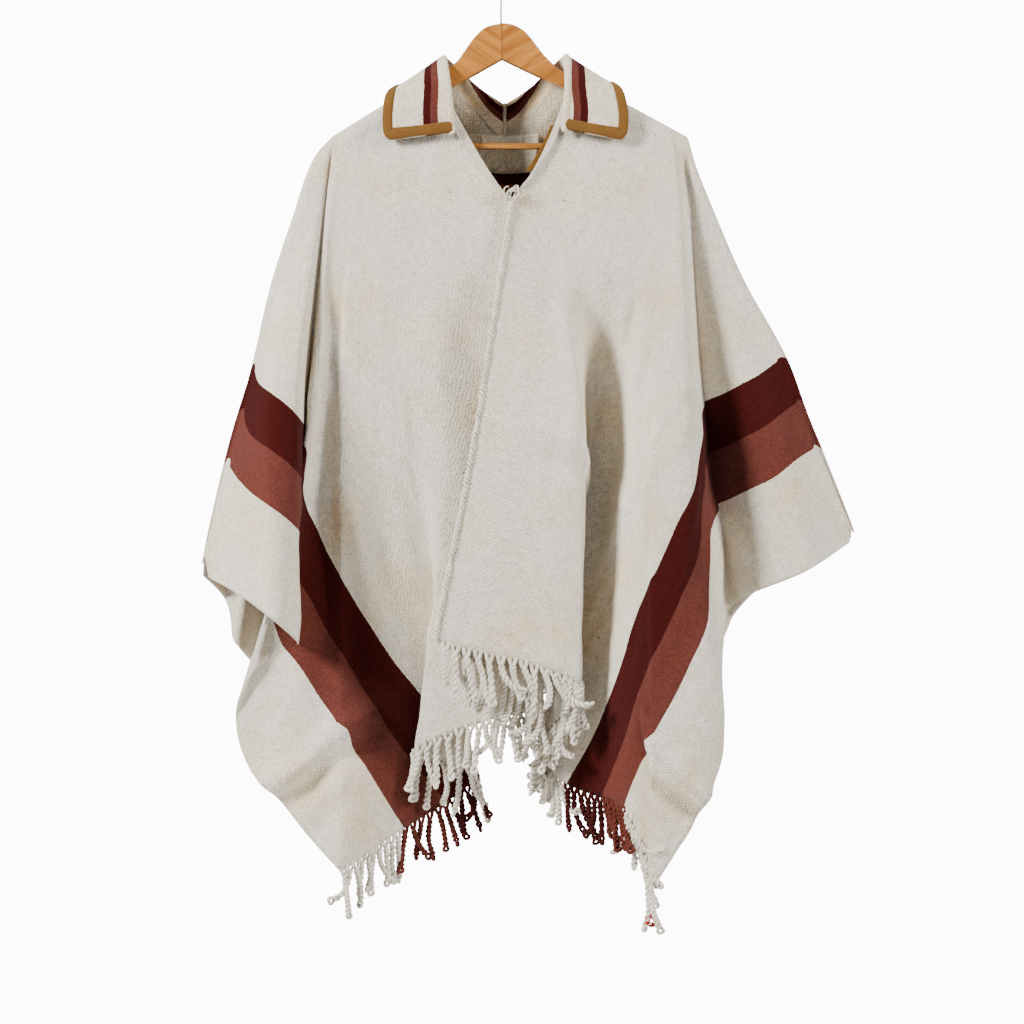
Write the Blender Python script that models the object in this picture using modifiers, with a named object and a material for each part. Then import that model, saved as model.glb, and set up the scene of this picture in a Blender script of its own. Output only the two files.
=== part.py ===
"""An andean poncho on a wooden coat hanger.

Two woven strips are sewn along the centre, with a slit left open for the neck.
A folded collar with a braid edge runs round the slit, and the hems end in fringe.
The poncho hangs from the arms of a two-piece wooden hanger, in long loose folds.

Metres, +Z up, the front faces -Y.  The origin is the underside of the hook's crown,
where a rail holds the hanger.
"""
import math

import bmesh
import bpy
import numpy as np

# ---- driving dimensions ---------------------------------------------------------------
STRIP_WIDTH = 0.745        # one woven strip, from the centre seam to its side edge
STRIP_DROP = 0.745         # from the shoulder line to one hem; the strip is twice this long
CLOTH = 0.0025             # thickness of the wool
GAP = 0.0003               # between pieces that touch
SHOULDER_ROLL = 0.0105     # radius of the cloth where it lies over the arms
CHEST_WIDTH = 0.165        # the cloth lies flat on the arm this far out from the neck
SLIT_FRONT = 0.190         # the neck slit, in front of the shoulder line
SLIT_BACK = 0.116          # the neck slit, behind the shoulder line
SLIT_BOW = 0.021           # the slit's front edges bow outwards by this much
BOW_REACH = 0.12           # the bow fades over this much cloth
LAP = 0.0050               # at the centre seam the right strip lies this far in front of the left
LAP_REACH = 0.14           # the lap fades over this much cloth
SEAM_BLEND = 0.15          # the slit's sharp lower end fades over this much cloth

FRINGE_REACH = 0.055       # from the hem to the ends of the twisted strands
FRINGE_THICK = 0.0022
FRINGE_GAP = 0.0045        # under the hem
FRINGE_START = 0.03        # the left strip's front fringe starts this far from the lapped seam
FRINGE_END = 0.008         # every other fringe starts this far from it

COLLAR_WIDTH = 0.100       # the strip that folds into stand and leaf
COLLAR_LEAF = 0.088        # the leaf's share of that strip
COLLAR_ROLL = 0.0032       # radius of the fold between them
BINDING_WIDTH = 0.013      # braid on the collar's outer edge and front ends
BINDING_THICK = 0.0016
BINDING_TOP = 0.10         # share of the leaf left bare next to the fold, at the front ends

WOOD_THICK = 0.014         # the hanger's arms, front to back
WOOD_ROUND = 0.003         # rounding of the arms' long edges
BAR_RADIUS = 0.004         # the round bar between the arms' ends
BAR_Z = -0.2211            # its centre line
BAR_FROM = -0.188          # its left end, inside the arm
BAR_TO = 0.208             # its right end, inside the arm
JOINT_X = 0.00125          # the glued joint between the two arms
WIRE_RADIUS = 0.0014       # the steel hook
CROOK_RADIUS = 0.0165

# ---- where the cloth leaves the neck, and how it lies on each arm ------------------------
# neck: the top of the slit's edge.  along: down the shoulder line.  down: the way the
# strip's length runs on the chest.  Each is (x, z) in the plane of the hanger.
CHEST = {
    "left": dict(neck=(-0.0762, -0.1268), along=(-0.849, -0.525), down=(0.467, -0.856)),
    "right": dict(neck=(0.0812, -0.1280), along=(0.878, -0.479), down=(-0.370, -0.929)),
}
BACK_DOWN = {"left": (0.690, -0.712), "right": (-0.660, -0.704)}
BACK_HANG = 0.40           # how fast the back's neck edge leaves the plane of the hanger
FRONT_HANG = 0.06          # how fast the chest leaves it
FRONT_SEAM_TOP = (0.0130, -0.0225, -0.2945)
BACK_SEAM_TOP = (0.0042, 0.0572, -0.2092)
FREE_SHARE = 0.10          # where a fold line that starts past the arm leaves its crest

# ---- the shoulder line past the end of the arm: metres out from the neck, then x, y, z ---
SHOULDER = {
    "left": (
        (0.159, -0.2112, 0.000, -0.2105),
        (0.193, -0.2319, 0.000, -0.2343),
        (0.275, -0.2600, 0.003, -0.3105),
        (0.363, -0.2875, 0.006, -0.3943),
        (0.497, -0.3144, 0.012, -0.5061),
        (0.561, -0.3350, 0.018, -0.5699),
        (0.625, -0.3519, 0.022, -0.6324),
        (0.745, -0.3800, 0.030, -0.7543),
    ),
    "right": (
        (0.172, 0.2325, 0.000, -0.2111),
        (0.204, 0.2412, 0.000, -0.2418),
        (0.262, 0.2625, 0.002, -0.2955),
        (0.359, 0.3012, 0.004, -0.3842),
        (0.497, 0.3612, 0.008, -0.4942),
        (0.561, 0.3825, 0.012, -0.5518),
        (0.625, 0.4069, 0.015, -0.6105),
        (0.745, 0.4470, 0.020, -0.7105),
    ),
}

# ---- the fold lines ----------------------------------------------------------------------
# reach: metres along the hem from the centre seam, and on up the side edge.
# crest: where the line starts, in metres out along the shoulder line.
# knee and foot: where the line bends, and where it ends on the hem or the side edge.
FRONT_FOLDS = {
    "left": (
        # reach, crest, knee x, y, z, foot x, y, z
        (0.000, 0.000, -0.0310, -0.0610, -0.5820, -0.0800, -0.0860, -0.8340),
        (0.180, 0.010, 0.0450, -0.0380, -0.5700, 0.0500, -0.0600, -0.9150),
        (0.320, 0.025, 0.0000, -0.0240, -0.5900, -0.0200, -0.0500, -0.9360),
        (0.420, 0.035, -0.0640, -0.0350, -0.6000, -0.1070, -0.0340, -0.9780),
        (0.497, 0.060, -0.1100, -0.0220, -0.6100, -0.0300, -0.0100, -1.0050),
        (0.561, 0.075, -0.1220, -0.0220, -0.6180, -0.0680, 0.0020, -1.0410),
        (0.625, 0.090, -0.1504, -0.0160, -0.6357, -0.1210, -0.0300, -1.0700),
        (0.745, 0.100, -0.1986, -0.0200, -0.6631, -0.1930, -0.0950, -1.1150),
        (0.805, 0.110, -0.2106, -0.0080, -0.6531, -0.2320, -0.0850, -1.0740),
        (0.870, 0.120, -0.2217, -0.0100, -0.6307, -0.2720, -0.0780, -1.0260),
        (0.920, 0.130, -0.2298, -0.0180, -0.6084, -0.3082, -0.0620, -0.9914),
        (0.980, 0.140, -0.2347, -0.0340, -0.5865, -0.3253, -0.0520, -0.9384),
        (1.050, 0.147, -0.2359, -0.0340, -0.5618, -0.3025, -0.0580, -0.8741),
        (1.150, 0.155, -0.2420, -0.0060, -0.5408, -0.2600, -0.0140, -0.8460),
        (1.280, 0.172, -0.2490, -0.0620, -0.5410, -0.2460, -0.0960, -0.8350),
        (1.340, 0.260, -0.2760, -0.0720, -0.5600, -0.2710, -0.1240, -0.8090),
        (1.410, 0.430, -0.3180, -0.0360, -0.6300, -0.3160, -0.0560, -0.7830),
        (1.490, 0.745, -0.380, 0.030, -0.7543, -0.380, 0.030, -0.7543),
    ),
    "right": (
        (0.000, 0.000, -0.031, -0.061, -0.582, -0.080, -0.086, -0.834),
        (0.200, 0.020, 0.0980, -0.0660, -0.5880, 0.0980, -0.0720, -0.8940),
        (0.370, 0.038, 0.1080, 0.0180, -0.6000, 0.0500, -0.0360, -0.9650),
        (0.430, 0.050, 0.1150, 0.0260, -0.6000, 0.0580, 0.0040, -0.9880),
        (0.480, 0.060, 0.1400, 0.0000, -0.6000, 0.0721, -0.0220, -1.0093),
        (0.561, 0.080, 0.1521, -0.0360, -0.6163, 0.1220, -0.0550, -1.0290),
        (0.625, 0.095, 0.1681, -0.0600, -0.6290, 0.1500, -0.1000, -1.0370),
        (0.745, 0.115, 0.1849, -0.0860, -0.6513, 0.1800, -0.1320, -1.1320),
        (0.875, 0.130, 0.2138, -0.0900, -0.6465, 0.2440, -0.1180, -1.0300),
        (0.960, 0.140, 0.2340, -0.0800, -0.6439, 0.2710, -0.0980, -0.9590),
        (1.050, 0.150, 0.2430, -0.0620, -0.6400, 0.2700, -0.0740, -0.8780),
        (1.110, 0.157, 0.2470, -0.0400, -0.6200, 0.2720, -0.0460, -0.8360),
        (1.190, 0.170, 0.2540, 0.0060, -0.5400, 0.2880, 0.0000, -0.7960),
        (1.250, 0.200, 0.2760, -0.0100, -0.5400, 0.3000, -0.0160, -0.7850),
        (1.370, 0.400, 0.3400, -0.0380, -0.5900, 0.3710, -0.0520, -0.7530),
        (1.490, 0.745, 0.4470, 0.0200, -0.7105, 0.4470, 0.0200, -0.7105),
    ),
}
BACK_FOLDS = {
    "left": (
        # reach, knee x, y, z, foot x, y, z
        (0.000, 0.004, 0.060, -0.560, 0.004, 0.055, -0.838),
        (0.045, -0.009, 0.068, -0.560, -0.012, 0.066, -0.846),
        (0.130, -0.030, 0.108, -0.560, -0.045, 0.150, -0.872),
        (0.270, -0.068, 0.038, -0.570, -0.082, 0.036, -0.905),
        (0.410, -0.098, 0.112, -0.580, -0.116, 0.142, -0.955),
        (0.560, -0.132, 0.024, -0.600, -0.156, 0.028, -1.010),
        (0.745, -0.180, 0.100, -0.640, -0.200, 0.140, -1.080),
        (0.940, -0.228, 0.030, -0.600, -0.262, 0.044, -0.975),
        (1.090, -0.262, 0.098, -0.570, -0.310, 0.140, -0.893),
        (1.240, -0.300, 0.047, -0.580, -0.337, 0.058, -0.847),
        (1.360, -0.332, 0.092, -0.640, -0.358, 0.120, -0.794),
        (1.490, -0.380, 0.030, -0.7543, -0.380, 0.030, -0.7543),
    ),
    "right": (
        (0.000, 0.004, 0.060, -0.560, 0.004, 0.055, -0.838),
        (0.045, 0.018, 0.068, -0.560, 0.021, 0.066, -0.846),
        (0.140, 0.040, 0.108, -0.560, 0.058, 0.148, -0.868),
        (0.270, 0.077, 0.038, -0.570, 0.092, 0.034, -0.900),
        (0.420, 0.114, 0.114, -0.580, 0.132, 0.144, -0.950),
        (0.570, 0.148, 0.020, -0.600, 0.162, 0.026, -1.005),
        (0.745, 0.184, 0.100, -0.640, 0.202, 0.138, -1.070),
        (0.940, 0.232, 0.026, -0.600, 0.250, 0.034, -0.945),
        (1.090, 0.272, 0.100, -0.560, 0.298, 0.138, -0.822),
        (1.240, 0.322, 0.033, -0.560, 0.358, 0.046, -0.752),
        (1.360, 0.378, 0.092, -0.610, 0.402, 0.118, -0.724),
        (1.490, 0.447, 0.020, -0.7105, 0.447, 0.020, -0.7105),
    ),
}
COLUMNS_PER_FOLD = 3       # samples of the cloth between two fold lines in front
FRONT_ROWS = (0.03, 0.07, 0.14, 0.24, 0.36, 0.48, 0.60, 0.72, 0.86, 1.00)
BACK_ROWS = (0.04, 0.10, 0.20, 0.34, 0.50, 0.66, 0.83, 1.00)
ROLL_ROWS = (0.45, 1.0)    # samples over a quarter turn at the shoulder
ROLL_LIMIT = 0.08          # that quarter turn never takes more of a short column than this

# ---- the collar --------------------------------------------------------------------------
# along: metres from the front end round to the centre back.  foot: the neck seam.
# fold: the top of the stand.  edge: the outer edge of the leaf.  Each x, y, z.
COLLAR = {
    "left": (
        # along, fold x, y, z, edge x, y, z
        (0.000, -0.0568, -0.0270, -0.2100, -0.1450, -0.0250, -0.2185),
        (0.022, -0.0585, -0.0290, -0.1820, -0.1470, -0.0260, -0.1925),
        (0.048, -0.0620, -0.0250, -0.1460, -0.1445, -0.0220, -0.1650),
        (0.080, -0.0675, 0.0010, -0.1100, -0.1345, 0.0010, -0.1520),
        (0.112, -0.0520, 0.0310, -0.1190, -0.1130, 0.0520, -0.1560),
        (0.150, -0.0300, 0.0560, -0.1360, -0.0620, 0.0840, -0.1700),
        (0.196, 0.0032, 0.0640, -0.1580, 0.0028, 0.0840, -0.1990),
    ),
    "right": (
        (0.000, 0.0755, -0.0270, -0.2075, 0.1555, -0.0250, -0.2190),
        (0.022, 0.0770, -0.0290, -0.1805, 0.1585, -0.0260, -0.1925),
        (0.048, 0.0793, -0.0250, -0.1455, 0.1548, -0.0220, -0.1640),
        (0.080, 0.0775, 0.0010, -0.1070, 0.1440, 0.0010, -0.1480),
        (0.112, 0.0620, 0.0310, -0.1170, 0.1220, 0.0520, -0.1530),
        (0.150, 0.0390, 0.0560, -0.1360, 0.0710, 0.0840, -0.1680),
        (0.196, 0.0058, 0.0640, -0.1580, 0.0062, 0.0840, -0.1990),
    ),
}
COLLAR_FRONT = 0.080       # the collar starts this far down the slit's front edge
COLLAR_SAMPLES = 14

# ---- inside the neck -----------------------------------------------------------------------
INSIDE_X = 0.0043                  # the middle of the back, where the collar halves meet
INSIDE_TOP = (0.0565, -0.209)      # y, z of the back's inner face under the collar
INSIDE_LEAN = 0.012                # how fast it leans backwards on the way down
INSIDE_CURVE = 0.30                # how fast it comes forward on the way out
FACING_TOP = (0.090, -0.212)       # width, z
FACING_FOOT = (0.060, -0.292)
FACING_THICK = 0.0015
FACING_PROUD = 0.0050              # its middle, in front of the back's inner face
LABEL_SIZE = (0.052, 0.016)
LABEL_X = 0.0010
LABEL_TOP = -0.2125
LABEL_THICK = 0.0012
LABEL_PROUD = 0.0075
TAPE_WIDTH = 0.009
TAPE_FROM = 0.082                  # down the slit's right edge from the shoulder line
TAPE_TO = 0.150
TAPE_INSET = -0.001                # its outer edge, outwards from the edge of the slit
TAPE_BEHIND = 0.0070               # between the middle of the cloth and the middle of the tape

# ---- the hanger's arms, from the centre joint out along the top and back underneath (x, z) --
ARM = {
    "left": (
        (-0.0188, -0.0718), (-0.0313, -0.0830), (-0.0400, -0.0942), (-0.0475, -0.1055),
        (-0.0560, -0.1175), (-0.0744, -0.1298), (-0.1950, -0.2044), (-0.2000, -0.2110),
        (-0.1970, -0.2285), (-0.1915, -0.2315), (-0.0613, -0.1474), (-0.0340, -0.1330),
    ),
    "right": (
        (0.0150, -0.0690), (0.0300, -0.0775), (0.0400, -0.0893), (0.0481, -0.1005),
        (0.0606, -0.1155), (0.0795, -0.1313), (0.2150, -0.2056), (0.2205, -0.2125),
        (0.2175, -0.2285), (0.2125, -0.2320), (0.0775, -0.1480), (0.0425, -0.1330),
    ),
}
ARM_TOP = -0.0680
ARM_UNDER = -0.1130

# ---- the hook: the straight shank and its bend (x, z), then the crook ------------------------
SHANK = ((0.0, ARM_TOP + GAP), (0.0, -0.0520), (0.0, -0.0400), (0.0008, -0.0358),
         (0.0026, -0.0332), (0.0053, -0.0312))
CROOK_ARC = (-60, 216, 12)         # degrees: from, to, step

COLORS = {
    # name: red, green, blue, roughness, metallic
    "cream_wool": (0.74, 0.70, 0.62, 0.92, 0.0),
    "ochre_braid": (0.38, 0.20, 0.04, 0.85, 0.0),
    "label_cloth": (0.72, 0.66, 0.52, 0.80, 0.0),
    "varnished_wood": (0.56, 0.29, 0.07, 0.35, 0.0),
    "steel": (0.55, 0.55, 0.56, 0.30, 1.0),
}


# ---- small helpers -------------------------------------------------------------------------
def material(name):
    """One Principled material for one object."""
    red, green, blue, rough, metal = COLORS[name]
    mat = bpy.data.materials.new(name)
    mat.use_nodes = True
    shader = mat.node_tree.nodes["Principled BSDF"]
    shader.inputs["Base Color"].default_value = (red, green, blue, 1.0)
    shader.inputs["Roughness"].default_value = rough
    shader.inputs["Metallic"].default_value = metal
    return mat


def through(stations, values, at):
    """A smooth curve through values at uneven stations that never overshoots them."""
    stations = np.asarray(stations, float)
    values = np.asarray(values, float)
    slopes = np.zeros_like(values)
    steps = np.diff(stations)
    rises = np.diff(values, axis=0) / steps.reshape((-1,) + (1,) * (values.ndim - 1))
    slopes[0] = rises[0]
    slopes[-1] = rises[-1]
    for i in range(1, len(stations) - 1):
        early, late = rises[i - 1], rises[i]
        agree = early * late > 0
        weight_early = 2 * steps[i] + steps[i - 1]
        weight_late = steps[i] + 2 * steps[i - 1]
        total = np.where(agree, weight_early * late + weight_late * early, 1.0)
        mean = (weight_early + weight_late) * early * late / total
        slopes[i] = np.where(agree, mean, 0.0)
    i = int(np.clip(np.searchsorted(stations, at) - 1, 0, len(steps) - 1))
    u = (at - stations[i]) / steps[i]
    blend = u * u * (3 - 2 * u)
    lean = steps[i] * u * (1 - u)
    return (values[i] * (1 - blend) + values[i + 1] * blend
            + lean * ((1 - u) * slopes[i] - u * slopes[i + 1]))


def read_folds(rows, reach):
    """One fold line of a table, read between its rows; the hem's corner stays sharp."""
    table = np.array(rows)
    hem = table[:, 0] <= STRIP_WIDTH + 1e-6
    side = table[:, 0] >= STRIP_WIDTH - 1e-6
    part = table[hem] if reach <= STRIP_WIDTH else table[side]
    return through(part[:, 0], part[:, 1:], reach)


def foot_on_cut(reach):
    """Where a fold line ends on the flat strip: metres out, and down from the shoulder."""
    if reach <= STRIP_WIDTH:
        return reach, STRIP_DROP
    return STRIP_WIDTH, max(STRIP_WIDTH + STRIP_DROP - reach, 0.0)


def shoulder_point(side, out):
    """A point of the shoulder line: straight down the arm, then the free edge fold."""
    chest = CHEST[side]
    arm_end = SHOULDER[side][0][0]
    if out <= arm_end:
        neck, along = chest["neck"], chest["along"]
        return np.array((neck[0] + along[0] * out, 0.0, neck[1] + along[1] * out))
    rows = np.array(SHOULDER[side])
    return through(rows[:, 0], rows[:, 1:], out)


def chest_point(side, out, down, behind):
    """A point of the flat stretch that lies on the arm."""
    chest = CHEST[side]
    way = BACK_DOWN[side] if behind else chest["down"]
    face = 1.0 if behind else -1.0
    x = chest["neck"][0] + chest["along"][0] * out + way[0] * down
    z = chest["neck"][1] + chest["along"][1] * out + way[1] * down
    hang = (BACK_HANG if behind else FRONT_HANG) * down
    return np.array((x, face * (SHOULDER_ROLL + hang), z))


def fold_line(side, behind, reach):
    """Control points of one fold line, with the share of its length at each."""
    crest_out = float(read_folds([(r[0], r[1]) for r in FRONT_FOLDS[side]], reach)[0])
    if behind:
        row = read_folds(BACK_FOLDS[side], reach)
        knee, foot = row[:3].copy(), row[3:].copy()
    else:
        row = read_folds(FRONT_FOLDS[side], reach)
        knee, foot = row[1:4].copy(), row[4:].copy()
    crest = shoulder_point(side, crest_out)
    foot_out, foot_down = foot_on_cut(reach)
    run = max(foot_out - crest_out, 1e-6)
    share = FREE_SHARE
    upper = max(np.linalg.norm(knee - crest), 1e-6)
    start = crest + (knee - crest) * share * (1 + np.linalg.norm(foot - knee) / upper)
    if crest_out < CHEST_WIDTH and foot_down > 0.01:
        depth = SLIT_BACK if behind else SLIT_FRONT
        flat_share = min(depth / foot_down, (CHEST_WIDTH - crest_out) / run, 0.5)
        out, down = crest_out + run * flat_share, foot_down * flat_share
        flat = chest_point(side, out, down, behind)
        seam = max(1 - reach / LAP_REACH, 0.0)
        flat = flat * (1 - seam) + np.array(BACK_SEAM_TOP if behind else FRONT_SEAM_TOP) * seam
        weight = min((CHEST_WIDTH - crest_out) / 0.03, 1.0)
        start = start * (1 - weight) + flat * weight
        share = share * (1 - weight) + flat_share * weight
    if side == "right":
        lap = LAP * max(1 - reach / LAP_REACH, 0.0) * (1 if behind else -1)
        for point in (start, knee, foot):
            point[1] += lap
    upper = np.linalg.norm(knee - start)
    lower = np.linalg.norm(foot - knee)
    bend = share + (1 - share) * upper / max(upper + lower, 1e-6)
    return crest, start, knee, foot, share, bend


def roll_drop(down, foot_down):
    """How far below the crest a point lies, once the cloth has rolled over the arm."""
    quarter = SHOULDER_ROLL * math.pi / 2
    if down < quarter:
        return SHOULDER_ROLL * (1 - math.cos(down / SHOULDER_ROLL))
    return down - (quarter - SHOULDER_ROLL) * (1 - down / foot_down)


def cloth_point(side, behind, reach, share):
    """One point of the draped cloth: a share of the way down one fold line."""
    crest, start, knee, foot, first, bend = fold_line(side, behind, reach)
    if np.linalg.norm(foot - crest) < 1e-5:
        return crest
    foot_down = foot_on_cut(reach)[1]
    down = foot_down * share
    at = roll_drop(down, foot_down) / foot_down
    top = crest.copy()
    top[1] += SHOULDER_ROLL * (1 if behind else -1)
    smooth = through((0.0, first, bend, 1.0), (top, start, knee, foot), at)
    if at < first:
        parted = top + (start - top) * at / first
    else:
        parted = through((first, bend, 1.0), (start, knee, foot), at)
    apart = max(1 - reach / SEAM_BLEND, 0.0)
    point = smooth * (1 - apart) + parted * apart
    turn = min(down / SHOULDER_ROLL, math.pi / 2)
    point[1] = crest[1] + (point[1] - crest[1]) * math.sin(turn)
    if not behind and down < SLIT_FRONT:
        outwards = -1 if side == "left" else 1
        near = max(1 - reach / BOW_REACH, 0.0) * max(1 - (share * reach) / BOW_REACH, 0.0)
        point[0] += outwards * SLIT_BOW * near * math.sin(math.pi * down / SLIT_FRONT)
    return point


def column_reaches(side):
    """The columns of the cloth: a few between each two fold lines."""
    reaches = [row[0] for row in FRONT_FOLDS[side]]
    columns = [reaches[0]]
    for start, end in zip(reaches, reaches[1:]):
        count = COLUMNS_PER_FOLD if end - start > 0.07 else 2
        columns += [start + (end - start) * step / count for step in range(1, count + 1)]
    return columns


def row_shares(reach, behind):
    """The rows of one column, from the shoulder line to its end."""
    foot_down = max(foot_on_cut(reach)[1], 1e-6)
    quarter = min(SHOULDER_ROLL * math.pi / 2 / foot_down, ROLL_LIMIT)
    rows = BACK_ROWS if behind else FRONT_ROWS
    return ([quarter * part for part in ROLL_ROWS]
            + [quarter + (1 - quarter) * share for share in rows])


def new_object(name, mesh, color, home):
    obj = bpy.data.objects.new(name, mesh)
    home.objects.link(obj)
    mesh.materials.append(material(color))
    return obj


def solid_from_grid(name, grid, thick, color, home):
    """A wall from a grid of points: an open sheet with Solidify."""
    bm = bmesh.new()
    rows = [[bm.verts.new(point) for point in row] for row in grid]
    for upper, lower in zip(rows, rows[1:]):
        for i in range(len(upper) - 1):
            bm.faces.new((upper[i], upper[i + 1], lower[i + 1], lower[i]))
    bmesh.ops.remove_doubles(bm, verts=bm.verts, dist=0.00005)
    bmesh.ops.dissolve_degenerate(bm, edges=bm.edges, dist=0.00005)
    bmesh.ops.recalc_face_normals(bm, faces=bm.faces)
    mesh = bpy.data.meshes.new(name)
    bm.to_mesh(mesh)
    bm.free()
    mesh.shade_smooth()
    obj = new_object(name, mesh, color, home)
    wall = obj.modifiers.new("wall", "SOLIDIFY")
    wall.thickness = thick
    wall.offset = 0.0
    return obj


# ---- the cloth -------------------------------------------------------------------------------
def woven_half(side, home):
    """One woven strip, from the front hem over the shoulder to the back hem."""
    grid = []
    for reach in column_reaches(side):
        front = [cloth_point(side, False, reach, share) for share in row_shares(reach, False)]
        back = [cloth_point(side, True, reach, share) for share in row_shares(reach, True)]
        crest = cloth_point(side, False, reach, 0.0)
        grid.append(front[::-1] + [crest] + back)
    return solid_from_grid("half_" + side, grid, CLOTH, "cream_wool", home)


def fringe(side, behind, home):
    """The reach of the twisted strands below one hem, as one plain wall."""
    start = FRINGE_START if side == "left" and not behind else FRINGE_END
    reaches = [start] + [reach for reach in column_reaches(side) if start < reach <= STRIP_WIDTH]
    grid = []
    for reach in reaches:
        hem = cloth_point(side, behind, reach, 1.0)
        above = cloth_point(side, behind, reach, 0.96)
        way = hem - above
        way = way / np.linalg.norm(way)
        top = hem + way * FRINGE_GAP
        grid.append([top, hem + way * FRINGE_REACH])
    name = "fringe_%s_%s" % ("back" if behind else "front", side)
    return solid_from_grid(name, grid, FRINGE_THICK, "cream_wool", home)


# ---- the collar --------------------------------------------------------------------------------
def neck_seam(side, along):
    """Where the collar is sewn: just outside the edge of the slit."""
    down = COLLAR_FRONT - along
    behind = down < 0
    down = abs(down)
    edge = cloth_point(side, behind, 0.0, down / STRIP_DROP)
    turn = min(down / SHOULDER_ROLL, math.pi / 2)
    face = 1 if behind else -1
    out = np.array((0.0, face * math.sin(turn), math.cos(turn)))
    return edge + out * (1.3 * CLOTH + GAP)


def collar_section(side, along):
    """Points across the collar at one place: neck seam, stand, fold, leaf and outer edge."""
    rows = np.array(COLLAR[side])
    row = through(rows[:, 0], rows[:, 1:], along)
    foot, fold, edge = neck_seam(side, along), row[:3], row[3:]
    leaf = (edge - fold) / np.linalg.norm(edge - fold)
    stand = (fold - foot) / np.linalg.norm(fold - foot)
    out = leaf - stand * np.dot(leaf, stand)
    out = out / np.linalg.norm(out)
    inner = fold - stand * COLLAR_ROLL
    middle = fold + out * COLLAR_ROLL
    outer = inner + out * 2 * COLLAR_ROLL
    return [foot, foot * 0.5 + inner * 0.5, inner, middle, outer,
            outer * 0.66 + edge * 0.34, outer * 0.33 + edge * 0.67, edge]


def leaf_point(side, along, share, lift):
    """A point of the leaf, from the fold (0) to the outer edge (1), moved out by lift."""
    def flat(place, part):
        section = collar_section(side, place)
        return section[4] * (1 - part) + section[-1] * part
    step = 0.002
    ahead = flat(along + step, share) - flat(along, share)
    across = flat(along, share) - flat(along, share - 0.05)
    normal = np.cross(ahead, across) * (1 if side == "left" else -1)
    return flat(along, share) + normal / np.linalg.norm(normal) * lift


def collar_stations(side):
    """Places along the collar: its front end, the braid's inner corner, then on to the back."""
    ends = COLLAR[side][-1][0]
    return [0.0] + [BINDING_WIDTH + (ends - BINDING_WIDTH) * i / (COLLAR_SAMPLES - 1)
                    for i in range(COLLAR_SAMPLES)]


def collar_half(side, home):
    grid = [collar_section(side, along) for along in collar_stations(side)]
    return solid_from_grid("collar_" + side, grid, CLOTH, "cream_wool", home)


def collar_binding(side, home):
    """The braid on the leaf: along its front end, round the corner and along its outer edge."""
    lift = CLOTH / 2 + BINDING_THICK / 2 + 3 * GAP
    inset = 1 - BINDING_WIDTH / COLLAR_LEAF
    grid = []
    for i in range(6):
        share = BINDING_TOP + (inset - BINDING_TOP) * i / 5
        grid.append([leaf_point(side, 0.0, share, lift),
                     leaf_point(side, BINDING_WIDTH, share, lift)])
    grid.append([leaf_point(side, 0.0, 1.0, lift), grid[-1][1]])
    for along in collar_stations(side)[1:]:
        width = np.linalg.norm(leaf_point(side, along, 1.0, 0) - leaf_point(side, along, 0.0, 0))
        grid.append([leaf_point(side, along, 1.0, lift),
                     leaf_point(side, along, 1 - BINDING_WIDTH / width, lift)])
    return solid_from_grid("binding_" + side, grid, BINDING_THICK, "ochre_braid", home)


# ---- inside the neck ------------------------------------------------------------------------------
def back_face(x, z, proud):
    """A point in front of the back's inner face, near its middle."""
    top_y, top_z = INSIDE_TOP
    depth = top_y + INSIDE_LEAN * (top_z - z) - INSIDE_CURVE * abs(x - INSIDE_X)
    return np.array((x, depth - proud, z))


def facing(home):
    top_wide, top_z = FACING_TOP
    foot_wide, foot_z = FACING_FOOT
    grid = []
    for i in range(7):
        down = i / 6
        z = top_z + (foot_z - top_z) * down
        wide = top_wide + (foot_wide - top_wide) * down
        grid.append([back_face(INSIDE_X + wide * (j / 8 - 0.5), z, FACING_PROUD)
                     for j in range(9)])
    return solid_from_grid("neck_facing", grid, FACING_THICK, "cream_wool", home)


def label(home):
    wide, tall = LABEL_SIZE
    grid = []
    for i in range(2):
        grid.append([back_face(LABEL_X + wide * (j / 6 - 0.5), LABEL_TOP - tall * i, LABEL_PROUD)
                     for j in range(7)])
    return solid_from_grid("neck_label", grid, LABEL_THICK, "label_cloth", home)


def slit_tape(home):
    """The tape behind the slit's right edge, bowed as the edge is."""
    grid = []
    for i in range(8):
        down = TAPE_FROM + (TAPE_TO - TAPE_FROM) * i / 7
        x, y, z = cloth_point("right", False, 0.0, down / STRIP_DROP)
        outer, inner = x + TAPE_INSET, x + TAPE_INSET - TAPE_WIDTH
        grid.append([(outer, y + TAPE_BEHIND, z), (inner, y + TAPE_BEHIND, z)])
    return solid_from_grid("slit_tape", grid, BINDING_THICK, "ochre_braid", home)


# ---- the hanger -------------------------------------------------------------------------------------
def flat_arm(side, home, cutter):
    """One wooden arm: its outline, as thick as the wood, with rounded edges."""
    face = -1 if side == "left" else 1
    joint = JOINT_X + face * GAP / 2
    outline = [(joint, ARM_TOP)] + list(ARM[side]) + [(joint, ARM_UNDER)]
    bm = bmesh.new()
    corners = [bm.verts.new((x, -WOOD_THICK / 2, z)) for x, z in outline]
    front = bm.faces.new(corners)
    pushed = bmesh.ops.extrude_face_region(bm, geom=[front])
    moved = [item for item in pushed["geom"] if isinstance(item, bmesh.types.BMVert)]
    bmesh.ops.translate(bm, verts=moved, vec=(0.0, WOOD_THICK, 0.0))
    bmesh.ops.recalc_face_normals(bm, faces=bm.faces)
    mesh = bpy.data.meshes.new("hanger_arm_" + side)
    bm.to_mesh(mesh)
    bm.free()
    arm = new_object("hanger_arm_" + side, mesh, "varnished_wood", home)
    rounding = arm.modifiers.new("rounding", "BEVEL")
    rounding.width = WOOD_ROUND
    rounding.segments = 2
    rounding.limit_method = "ANGLE"
    rounding.angle_limit = math.radians(60)
    socket = arm.modifiers.new("socket", "BOOLEAN")
    socket.object = cutter
    return arm


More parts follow.
